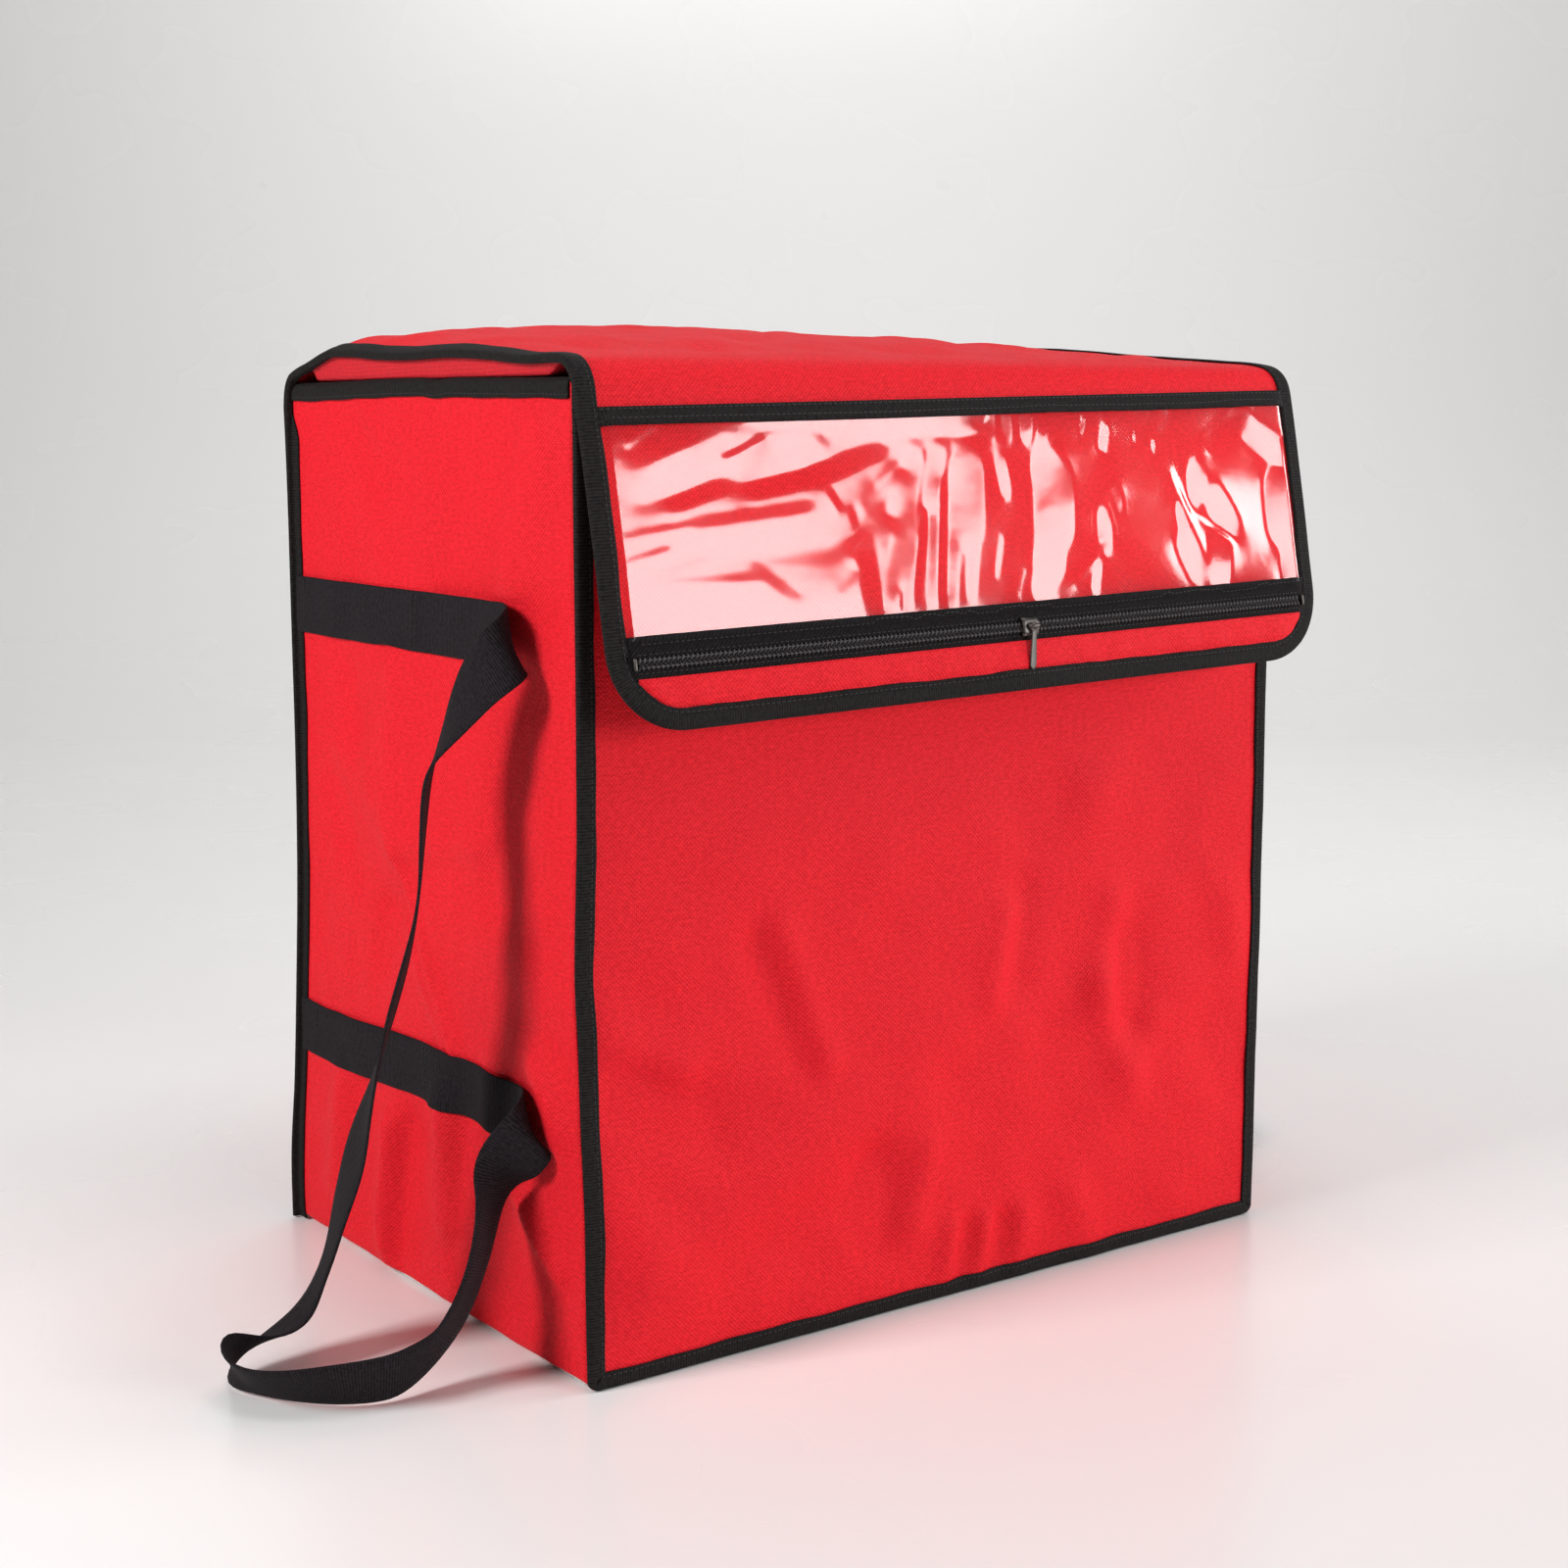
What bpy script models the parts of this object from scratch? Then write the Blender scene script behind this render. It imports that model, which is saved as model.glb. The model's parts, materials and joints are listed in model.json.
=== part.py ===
"""Insulated pizza delivery bag with a zipped window flap, as separate solids.

Metres, +Z up. The front faces -Y and the left side is at -X. The origin is at the middle of the
underside, on the surface that the bag stands on.
"""

import math

import bmesh
import bpy
from mathutils import Matrix, Vector

# Body, over the coated fabric
BODY_WIDTH = 0.474
BODY_DEPTH = 0.335
BODY_HEIGHT = 0.500
BACK_LEAN = 0.0200

# Layers of the walls
SHELL_WALL = 0.0012
FOAM_WALL = 0.0050
LINING_WALL = 0.0008
SEAT_GAP = 0.0003

# Bias binding folded over the cut edges
BINDING_WIDTH = 0.0090
BINDING_WALL = 0.0010
HINGE_BARE = 0.0060

# Back panel, lid and flap are one long piece, a little wider than the body
LONG_OVERHANG = 0.0037

# Lid
FOLD_STANDOFF = 0.0060
LID_FRONT_RISE = 0.0065
LID_SIDE_RISE = 0.0140
LID_CROWN = 0.0135
LID_PAD_CLEARANCE = 0.0030
LID_BINDING_START = 0.0250
LID_BINDING_STOP = 0.0042
LID_STEPS_ALONG = 14
LID_STEPS_ACROSS = 10

# Flap, measured down its own face from the fold
FLAP_DROP = 0.1695
FLAP_TILT = math.radians(10.0)
FLAP_SKEW = math.radians(1.3)
FLAP_CORNER_RADIUS = 0.0380
FLAP_CORNER_STEPS = 8
FLAP_BINDING_START = 0.0060

# Window pocket on the flap, down the flap's face
WINDOW_WALL = 0.0005
WINDOW_TAPE_TOP = 0.0150
WINDOW_TAPE_WIDTH = 0.0095
WINDOW_TAPE_WALL = 0.0008
ZIP_LINE = 0.1370
ZIP_TAPE_WIDTH = 0.0130
ZIP_TAPE_WALL = 0.0006
ZIP_SLIT = 0.0006
COIL_WIDTH = 0.0026
COIL_HEIGHT = 0.0014
STRIP_TOP = 0.1440
STRIP_WALL = 0.0008
ZIP_STOP_LENGTH = 0.0030
ZIP_STOP_WIDTH = 0.0064
ZIP_STOP_HEIGHT = 0.0010

# Zip slider and its pull
SLIDER_REST = 0.0176
SLIDER_LENGTH = 0.0115
SLIDER_WALL = 0.0010
SLIDER_CLEARANCE = 0.0004
BAIL_POST = 0.0013
BAIL_SPAN = 0.0046
BAIL_BAR_RADIUS = 0.0007
KNUCKLE_BORE_RADIUS = 0.0011
KNUCKLE_RADIUS = 0.0020
KNUCKLE_CLEARANCE = 0.0004
PULL_LENGTH = 0.0220
PULL_WIDTH = 0.0040
PULL_WALL = 0.0011
PULL_SLOT_WIDTH = 0.0016
PULL_SLOT_LENGTH = 0.0080
PULL_SLOT_INSET = 0.0022

# Hook and loop closure behind the flap
CLOSURE_LENGTH = 0.2000
CLOSURE_WIDTH = 0.0250
CLOSURE_WALL = 0.0014
CLOSURE_DROP = 0.1250

# Carrying handles of webbing, stitched down as far as the stitch line
WEBBING_WIDTH = 0.0320
WEBBING_WALL = 0.0016
UPPER_LEG_HEIGHT = 0.3770
LOWER_LEG_HEIGHT = 0.1320
STITCH_LINE_AHEAD = 0.0160
HANDLE_AHEAD = 0.1250
HANDLE_REACH = 0.1470
RIGHT_LAY_BACK = 0.0680
ROUTE_STEPS = 2

# The loose strap's middle and the lean of its width, in shares of HANDLE_AHEAD forward of the
# stitch line, HANDLE_REACH out from the side and the leg's height: forward, out, up, lean x 3.
FALL_SHARES = (
    (0.00, 0.000, 1.000, 0.00, 0.00, -1.00),
    (0.30, 0.008, 1.000, 0.00, 0.00, -1.00),
    (0.65, 0.030, 1.000, 0.02, 0.00, -1.00),
    (0.88, 0.070, 1.000, 0.08, -0.08, -1.00),
    (0.98, 0.140, 0.985, 0.32, -0.34, -0.88),
    (0.90, 0.190, 0.960, 0.70, -0.10, -0.70),
    (0.82, 0.210, 0.930, 0.95, -0.05, -0.20),
    (0.75, 0.250, 0.886, 0.97, 0.10, 0.15),
    (0.68, 0.300, 0.835, 0.85, 0.50, 0.15),
    (0.71, 0.350, 0.750, 0.85, 0.52, 0.08),
    (0.75, 0.390, 0.660, 0.88, 0.46, 0.08),
    (0.71, 0.425, 0.580, 0.83, 0.54, 0.10),
    (0.63, 0.460, 0.490, 0.82, 0.56, 0.05),
    (0.55, 0.490, 0.400, 0.88, 0.45, -0.10),
    (0.42, 0.510, 0.300, 0.98, 0.17, 0.00),
    (0.31, 0.535, 0.210, 0.96, 0.27, 0.00),
    (0.24, 0.575, 0.120, 0.92, 0.38, 0.03),
    (0.25, 0.660, 0.070, 0.93, 0.33, 0.00),
    (0.28, 0.800, 0.050, 0.90, 0.30, 0.25),
    (0.31, 0.930, 0.045, 0.70, 0.30, 0.60),
)
RISE_SHARES = (
    (0.36, 0.985, 0.110, 0.55, 0.30, 0.70),
    (0.52, 0.980, 0.105, 0.50, 0.45, 0.62),
    (0.69, 0.890, 0.100, 0.45, 0.45, 0.70),
    (0.83, 0.745, 0.110, 0.35, 0.40, 0.82),
    (0.89, 0.600, 0.120, 0.35, 0.45, 0.80),
    (0.87, 0.480, 0.150, 0.50, 0.62, 0.60),
    (0.86, 0.385, 0.210, 0.60, 0.66, 0.45),
    (0.90, 0.320, 0.350, 0.64, 0.68, 0.36),
    (0.90, 0.265, 0.480, 0.66, 0.70, 0.27),
    (0.87, 0.215, 0.610, 0.62, 0.70, 0.35),
    (0.83, 0.165, 0.770, 0.40, 0.75, 0.50),
    (0.92, 0.120, 0.900, -0.55, 0.55, 0.62),
    (1.00, 0.085, 0.985, -0.43, 0.50, 0.74),
    (0.90, 0.035, 1.000, -0.10, 0.12, 1.00),
    (0.60, 0.020, 1.000, 0.00, 0.00, 1.00),
    (0.30, 0.006, 1.000, 0.00, 0.00, 1.00),
    (0.00, 0.000, 1.000, 0.00, 0.00, 1.00),
)

# Places worked out from the sizes above
HALF_WIDTH = BODY_WIDTH / 2
HALF_DEPTH = BODY_DEPTH / 2
FOAM_INSET = SHELL_WALL + SEAT_GAP
LINING_INSET = FOAM_INSET + FOAM_WALL + SEAT_GAP
WALL_TOTAL = LINING_INSET + LINING_WALL
BINDING_PROUD = SEAT_GAP + BINDING_WALL
BINDING_LEG = BINDING_WIDTH - BINDING_PROUD
LONG_HALF = HALF_WIDTH + LONG_OVERHANG
HINGE_HEIGHT = BODY_HEIGHT + SEAT_GAP + SHELL_WALL
HINGE_Y = HALF_DEPTH - BACK_LEAN
LID_LENGTH = BODY_DEPTH - BACK_LEAN + FOLD_STANDOFF
FLAP_START = SHELL_WALL + SEAT_GAP
FLAP_FABRIC_DROP = FLAP_DROP - BINDING_PROUD
FLAP_STACK = SHELL_WALL + SEAT_GAP + LINING_WALL
POCKET_HALF = LONG_HALF - BINDING_LEG - SEAT_GAP
WINDOW_TOP_FACE = SEAT_GAP + WINDOW_WALL
TAPE_FACE = WINDOW_TOP_FACE + SEAT_GAP
COIL_FACE = TAPE_FACE + ZIP_TAPE_WALL + SEAT_GAP
STRIP_FACE = COIL_FACE
COIL_TOP = COIL_FACE + COIL_HEIGHT
LEG_AXIS = HALF_WIDTH + SEAT_GAP + WEBBING_WALL

PARTS = "pizza_delivery_bag"
TOOLS = "joined_shapes"

FINISHES = {
    "red_coated_polyester": ("E01E2B", 0.55, 0.0),
    "red_lining_fabric": ("C81A26", 0.70, 0.0),
    "black_binding_tape": ("232020", 0.80, 0.0),
    "black_webbing": ("201C20", 0.85, 0.0),
    "insulation_foam": ("E6E4DE", 0.90, 0.0),
    "clear_pvc_sheet": ("F2E9EA", 0.08, 0.0),
    "black_zip_tape": ("1E1C1D", 0.80, 0.0),
    "black_nylon_coil": ("161516", 0.45, 0.0),
    "black_hook_and_loop": ("1B191A", 0.95, 0.0),
    "nickel_plated_zinc": ("B9B7B4", 0.28, 1.0),
}


def srgb_to_linear(code):
    channels = [int(code[i : i + 2], 16) / 255 for i in (0, 2, 4)]
    return [c / 12.92 if c <= 0.04045 else ((c + 0.055) / 1.055) ** 2.4 for c in channels]


def finish_for(name):
    """The named finish as a Principled material, made once."""
    found = bpy.data.materials.get(name)
    if found:
        return found
    colour, roughness, metallic = FINISHES[name]
    made = bpy.data.materials.new(name)
    made.use_nodes = True
    shader = made.node_tree.nodes["Principled BSDF"]
    shader.inputs["Base Color"].default_value = (*srgb_to_linear(colour), 1.0)
    shader.inputs["Roughness"].default_value = roughness
    shader.inputs["Metallic"].default_value = metallic
    made.diffuse_color = (*srgb_to_linear(colour), 1.0)
    return made


def collection_for(name):
    found = bpy.data.collections.get(name)
    if not found:
        found = bpy.data.collections.new(name)
        bpy.context.scene.collection.children.link(found)
    return found


def place(name, data, finish, parent=None):
    """A part's object, made of a mesh or a curve, with its finish and its parent."""
    data.materials.append(finish_for(finish))
    made = bpy.data.objects.new(name, data)
    made.parent = parent
    collection_for(PARTS).objects.link(made)
    return made


def mesh_from(name, bm):
    data = bpy.data.meshes.new(name)
    bm.to_mesh(data)
    bm.free()
    return data


def box_mesh(name, low, high):
    """A box between two opposite corners."""
    low, high = Vector(low), Vector(high)
    bm = bmesh.new()
    bmesh.ops.create_cube(bm, size=1.0)
    bmesh.ops.scale(bm, vec=high - low, verts=bm.verts)
    bmesh.ops.translate(bm, vec=(low + high) / 2, verts=bm.verts)
    return mesh_from(name, bm)


def box(name, low, high, finish, parent=None):
    return place(name, box_mesh(name, low, high), finish, parent)


def bar_mesh(name, radius, half_length, centre):
    """A round bar along X."""
    bm = bmesh.new()
    turn = Matrix.Translation(centre) @ Matrix.Rotation(math.radians(90), 4, "Y")
    bmesh.ops.create_cone(
        bm, cap_ends=True, segments=20, radius1=radius, radius2=radius, depth=2 * half_length, matrix=turn
    )
    return mesh_from(name, bm)


def grid_faces(bm, rows):
    """Quads between rows of points, facing the columns' direction crossed with the rows'."""
    verts = [[bm.verts.new(point) for point in row] for row in rows]
    for upper, lower in zip(verts, verts[1:]):
        for k in range(len(upper) - 1):
            bm.faces.new((upper[k], upper[k + 1], lower[k + 1], lower[k]))


def sheet(name, rows, wall, finish, parent=None, side=1.0):
    """An open surface through rows of points, given its wall by Solidify."""
    bm = bmesh.new()
    grid_faces(bm, rows)
    made = place(name, mesh_from(name, bm), finish, parent)
    solid = made.modifiers.new("wall", "SOLIDIFY")
    solid.thickness = wall
    solid.offset = side
    solid.use_even_offset = True
    solid.use_quality_normals = True
    return made


def dropped_sheet(name, rows, wall, finish, parent=None):
    """An upper surface through rows of points, extruded straight down by its wall."""
    bm = bmesh.new()
    grid_faces(bm, rows)
    bmesh.ops.triangulate(bm, faces=bm.faces[:], quad_method="FIXED")
    copy = bmesh.ops.extrude_face_region(bm, geom=bm.faces[:])
    lower = [item for item in copy["geom"] if isinstance(item, bmesh.types.BMVert)]
    bmesh.ops.translate(bm, vec=(0.0, 0.0, -wall), verts=lower)
    bmesh.ops.recalc_face_normals(bm, faces=bm.faces)
    return place(name, mesh_from(name, bm), finish, parent)


def plate(name, outline, wall, centre_y, finish, parent=None):
    """A flat outline in the XZ plane, extruded through its wall about centre_y."""
    data = bpy.data.curves.new(name, "CURVE")
    data.dimensions = "2D"
    data.fill_mode = "BOTH"
    data.extrude = wall / 2
    spline = data.splines.new("POLY")
    spline.points.add(len(outline) - 1)
    for point, (x, z) in zip(spline.points, outline):
        point.co = (x, z, 0.0, 1.0)
    spline.use_cyclic_u = True
    made = place(name, data, finish, parent)
    made.location = (0.0, centre_y, 0.0)
    made.rotation_euler = (math.radians(90), 0.0, 0.0)
    return made


def combine(target, data, operation):
    """Join a shape to a part, or cut it away, with a Boolean."""
    tool = bpy.data.objects.new(f"{target.name}_{operation.lower()}_{len(target.modifiers)}", data)
    tool.parent = target.parent
    tool.hide_render = True
    tool.display_type = "WIRE"
    collection_for(TOOLS).objects.link(tool)
    step = target.modifiers.new(tool.name, "BOOLEAN")
    step.operation = operation
    step.object = tool


def axis_empty(name, location, parent=None, tilt=0.0, skew=0.0):
    """An empty at a place, turned in its own XZ plane by a skew and then about X by a tilt."""
    made = bpy.data.objects.new(name, None)
    made.location = location
    made.rotation_mode = "YXZ"
    made.rotation_euler = (tilt, skew, 0.0)
    made.parent = parent
    collection_for(PARTS).objects.link(made)
    return made


def smooth_path(points, steps):
    """Points along a Catmull-Rom curve through the given vectors."""
    out = []
    for k in range(len(points) - 1):
        before = points[max(k - 1, 0)]
        start, end = points[k], points[k + 1]
        after = points[min(k + 2, len(points) - 1)]
        for j in range(steps):
            t = j / steps
            out.append(
                (
                    2 * start
                    + (end - before) * t
                    + (2 * before - 5 * start + 4 * end - after) * t**2
                    + (3 * start - before - 3 * end + after) * t**3
                )
                / 2
            )
    out.append(points[-1])
    return out


def strip_path(half_x, floor_z, top_z):
    """Down the left side, across the base and up the right side, as x and z."""
    return ((-half_x, top_z), (-half_x, floor_z), (half_x, floor_z), (half_x, top_z))


def gusset(name, inset, wall, half_y, finish):
    """A strip of cloth that is the left side, the base and the right side in one."""
    path = strip_path(HALF_WIDTH - inset - wall, inset + wall, BODY_HEIGHT)
    rows = [((x, -half_y, z), (x, half_y, z)) for x, z in path]
    return sheet(name, rows, wall, finish)


def shell():
    """The outer cloth: the gusset strip, and the front and back panels sewn to it."""
    gusset("gusset_panel", 0.0, SHELL_WALL, HALF_DEPTH - SHELL_WALL - SEAT_GAP, "red_coated_polyester")
    front_half = HALF_WIDTH - BINDING_PROUD
    box(
        "front_panel",
        (-front_half, -HALF_DEPTH, BINDING_PROUD),
        (front_half, -HALF_DEPTH + SHELL_WALL, BODY_HEIGHT),
        "red_coated_polyester",
    )
    box(
        "back_panel",
        (-LONG_HALF, HALF_DEPTH - SHELL_WALL, BINDING_PROUD),
        (LONG_HALF, HALF_DEPTH, BODY_HEIGHT),
        "red_coated_polyester",
    )


def insulation():
    """Foam slabs inside the five walls, the side and base slabs between the front and back ones."""
    outer_x = HALF_WIDTH - FOAM_INSET
    outer_y = HALF_DEPTH - FOAM_INSET
    inner_x = outer_x - FOAM_WALL
    inner_y = outer_y - FOAM_WALL
    low = FOAM_INSET
    for name, y in (("foam_front", -outer_y), ("foam_back", inner_y)):
        box(name, (-outer_x, y, low), (outer_x, y + FOAM_WALL, BODY_HEIGHT), "insulation_foam")
    side_y = inner_y - SEAT_GAP
    for name, x in (("foam_left", -outer_x), ("foam_right", inner_x)):
        box(name, (x, -side_y, low), (x + FOAM_WALL, side_y, BODY_HEIGHT), "insulation_foam")
    base_x = inner_x - SEAT_GAP
    box("foam_base", (-base_x, -side_y, low), (base_x, side_y, low + FOAM_WALL), "insulation_foam")


def lining():
    """The inner cloth: a strip for the sides and base, and a panel at the front and the back."""
    half_x = HALF_WIDTH - LINING_INSET
    half_y = HALF_DEPTH - LINING_INSET
    for name, y in (("lining_front", -half_y), ("lining_back", half_y - LINING_WALL)):
        box(name, (-half_x, y, LINING_INSET), (half_x, y + LINING_WALL, BODY_HEIGHT), "red_lining_fabric")
    strip_half = half_y - LINING_WALL - SEAT_GAP
    gusset("lining_gusset", LINING_INSET, LINING_WALL, strip_half, "red_lining_fabric")


def front_binding():
    """Binding along the left, bottom and right edges of the front panel, round its cut edge."""
    rim = HALF_WIDTH - BINDING_WALL
    foot = BINDING_WALL
    face_y = -HALF_DEPTH - SEAT_GAP
    back_y = -HALF_DEPTH + SHELL_WALL
    rows = []
    for (x, z), (inner_x, inner_z) in zip(
        strip_path(rim, foot, BODY_HEIGHT),
        strip_path(rim - BINDING_LEG, foot + BINDING_LEG, BODY_HEIGHT),
    ):
        rows.append(((inner_x, face_y, inner_z), (x, face_y, z), (x, back_y, z)))
    sheet("binding_front", rows, BINDING_WALL, "black_binding_tape")


def back_bindings():
    """Binding round both upright edges of the back panel, and along its bottom edge."""
    top = BODY_HEIGHT - HINGE_BARE
    behind = HALF_DEPTH + SEAT_GAP
    before = HALF_DEPTH - SHELL_WALL - SEAT_GAP
    rim = LONG_HALF + SEAT_GAP
    for name, side in (("binding_back_left", -1.0), ("binding_back_right", 1.0)):
        section = (
            (side * (rim - BINDING_LEG), behind),
            (side * rim, behind),
            (side * rim, before),
            (side * (HALF_WIDTH + SEAT_GAP), before),
        )
        rows = [[(x, y, z) for x, y in section] for z in (0.0, top)]
        sheet(name, rows, BINDING_WALL, "black_binding_tape", side=-side)
    half = rim - BINDING_LEG - SEAT_GAP
    section = (
        (behind, BINDING_WALL + BINDING_LEG),
        (behind, BINDING_WALL),
        (HALF_DEPTH - SHELL_WALL, BINDING_WALL),
    )
    rows = [[(x, y, z) for y, z in section] for x in (-half, half)]
    sheet("binding_back_bottom", rows, BINDING_WALL, "black_binding_tape", side=-1.0)


def capping_section(outer, inner):
    """Up the outside of a wall, over its top edge and down its inside, as offset and height."""
    low = BODY_HEIGHT - BINDING_LEG
    high = BODY_HEIGHT + SEAT_GAP
    return ((outer, low), (outer, high), (inner, high), (inner, low))


def top_bindings():
    """Binding folded over the top edges of the front wall and of both side walls."""
    inner_rim_y = HALF_DEPTH - WALL_TOTAL - SEAT_GAP
    inner_rim_x = HALF_WIDTH - WALL_TOTAL - SEAT_GAP
    side_half = inner_rim_y - BINDING_WALL - SEAT_GAP
    for name, side in (("binding_left_top", -1.0), ("binding_right_top", 1.0)):
        section = capping_section(side * (HALF_WIDTH + SEAT_GAP), side * inner_rim_x)
        rows = [[(x, y, z) for x, z in section] for y in (-side_half, side_half)]
        sheet(name, rows, BINDING_WALL, "black_binding_tape", side=-side)
    front_half = HALF_WIDTH - BINDING_WALL - BINDING_LEG - SEAT_GAP
    section = capping_section(-HALF_DEPTH - SEAT_GAP, -inner_rim_y)
    rows = [[(x, y, z) for y, z in section] for x in (-front_half, front_half)]
    sheet("binding_front_top", rows, BINDING_WALL, "black_binding_tape", side=-1.0)


def lean_at(z):
    """How far the back wall has come forward at a height."""
    return BACK_LEAN * z / BODY_HEIGHT


def lean_walls():
    """Lean the walls built so far: the back's top comes forward, and the sides shorten with it."""
    for made in collection_for(PARTS).objects:
        for vert in made.data.vertices:
            vert.co.y -= lean_at(vert.co.z) * (vert.co.y + HALF_DEPTH) / BODY_DEPTH


def stitched_legs():
    """The webbing sewn flat to each side, from the back seam to the stitch line."""
    near = HALF_WIDTH + SEAT_GAP
    far = near + WEBBING_WALL
    start_y = -STITCH_LINE_AHEAD + SEAT_GAP
    for word, height in (("upper", UPPER_LEG_HEIGHT), ("lower", LOWER_LEG_HEIGHT)):
        low = height - WEBBING_WIDTH / 2
        high = height + WEBBING_WIDTH / 2
        end_y = HALF_DEPTH - lean_at(high) - SHELL_WALL - BINDING_PROUD - SEAT_GAP
        box(f"strap_leg_left_{word}", (-far, start_y, low), (-near, end_y, high), "black_webbing")
        box(f"strap_leg_right_{word}", (near, start_y, low), (far, end_y, high), "black_webbing")


def strap_stations(lay_back):
    """The loose strap's middle and lean at each chosen station, as forward, out and up."""
    cling = SEAT_GAP + WEBBING_WALL / 2
    places = []
    leans = []
    for shares, height in ((FALL_SHARES, UPPER_LEG_HEIGHT), (RISE_SHARES, LOWER_LEG_HEIGHT)):
        for forward, out, up, lean_forward, lean_out, lean_up in shares:
            ahead = forward * HANDLE_AHEAD - lay_back * (1.0 - up)
            places.append(Vector((ahead, cling + out * HANDLE_REACH, up * height)))
            leans.append(Vector((lean_forward, lean_out, lean_up)))
    return places, leans


def loose_strap(name, side, lay_back, parent):
    """A ribbon of webbing whose width leans as it falls, lies on the floor and rises again."""
    places, leans = strap_stations(lay_back)
    middles = smooth_path(places, ROUTE_STEPS)
    widths = smooth_path(leans, ROUTE_STEPS)
    lowest = WEBBING_WALL / 2 + SEAT_GAP
    rows = []
    for k, (middle, width) in enumerate(zip(middles, widths)):
        along = (middles[min(k + 1, len(middles) - 1)] - middles[max(k - 1, 0)]).normalized()
        across = (width - width.dot(along) * along).normalized() * (WEBBING_WIDTH / 2)
        lift = max(lowest - middle.z + abs(across.z), 0.0)
        edges = (middle - across, middle + across)
        rows.append([(side * (HALF_WIDTH + e.y - LEG_AXIS), -e.x, e.z + lift) for e in edges])
    sheet(name, rows, WEBBING_WALL, "black_webbing", parent, side=0.0)


def handles():
    for name, side, lay_back in (("handle_left", -1.0, 0.0), ("handle_right", 1.0, RIGHT_LAY_BACK)):
        axis = axis_empty(f"{name}_axis", (side * LEG_AXIS, -STITCH_LINE_AHEAD, 0.0))
        loose_strap(name, side, lay_back, axis)


def lid_height(x, y):
    """The lid's outer surface above the hinge: a rise to the fold, arched sides and a crown."""
    along = min(max(-y / LID_LENGTH, 0.0), 1.0)
    arch = math.sin(math.pi * along)
    crown = LID_CROWN * (1.0 - (x / LONG_HALF) ** 2)
    return LID_FRONT_RISE * along + (LID_SIDE_RISE + crown) * arch


def lid_lines():
    """The lid's grid lines in x and y: those of the padding, and the cloth's edges outside them."""
    pad_half = HALF_WIDTH - WALL_TOTAL - LID_PAD_CLEARANCE
    pad_back = -WALL_TOTAL - LID_PAD_CLEARANCE
    pad_front = BACK_LEAN - BODY_DEPTH + WALL_TOTAL + LID_PAD_CLEARANCE
    xs = [pad_half * (2 * k / LID_STEPS_ACROSS - 1) for k in range(LID_STEPS_ACROSS + 1)]
    ys = [pad_back + (pad_front - pad_back) * k / LID_STEPS_ALONG for k in range(LID_STEPS_ALONG + 1)]
    return [-LONG_HALF, *xs, LONG_HALF], [0.0, *ys, -LID_LENGTH]


def lid_layer(name, xs, ys, depth, wall, finish, parent):
    """One layer of the lid, its top a given depth below the outer surface."""
    rows = [[(x, y, lid_height(x, y) - depth) for x in xs] for y in ys]
    dropped_sheet(name, rows, wall, finish, parent)


def lid(axis):
    """The domed lid, which is the back panel's cloth going on over the top."""
    xs, ys = lid_lines()
    lid_layer("lid_panel", xs, ys, 0.0, SHELL_WALL, "red_coated_polyester", axis)
    pad_xs, pad_ys = xs[1:-1], ys[1:-1]
    lid_layer("lid_foam", pad_xs, pad_ys, FOAM_INSET, FOAM_WALL, "insulation_foam", axis)
    lid_layer("lid_lining", pad_xs, pad_ys, LINING_INSET, LINING_WALL, "red_lining_fabric", axis)
    first, last = -LID_BINDING_START, LID_BINDING_STOP - LID_LENGTH
    bound_ys = [first, *(y for y in ys if last + SEAT_GAP < y < first - SEAT_GAP), last]
    lid_binding("lid_binding_left", -1.0, bound_ys, axis)
    lid_binding("lid_binding_right", 1.0, bound_ys, axis)


def lid_binding(name, side, ys, parent):
    """Binding folded round one side edge of the lid."""
    inner = LONG_HALF - BINDING_LEG
    rim = LONG_HALF + SEAT_GAP
    under = -SHELL_WALL - SEAT_GAP
    section = ((inner, SEAT_GAP), (rim, SEAT_GAP), (rim, under), (inner, under))
    rows = [[(side * x, y, lid_height(x, y) + offset) for x, offset in section] for y in ys]
    sheet(name, rows, BINDING_WALL, "black_binding_tape", parent, side=-side)


def flap_rim(half, top, bottom, radius):
    """Down the left edge, round both bottom corners and up the right edge: point and outward.

    The top keeps its distance from the fold, which runs askew to the flap's own edges.
    """
    slant = half * math.tan(FLAP_SKEW)
    rim = [((-half, slant - top), (-1.0, 0.0))]
    for centre_x, start in ((-half + radius, 180.0), (half - radius, 270.0)):
        for k in range(FLAP_CORNER_STEPS + 1):
            angle = math.radians(start + 90.0 * k / FLAP_CORNER_STEPS)
            out = (math.cos(angle), math.sin(angle))
            rim.append(((centre_x + radius * out[0], -bottom + radius + radius * out[1]), out))
    rim.append(((half, -slant - top), (1.0, 0.0)))
    return rim


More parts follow.
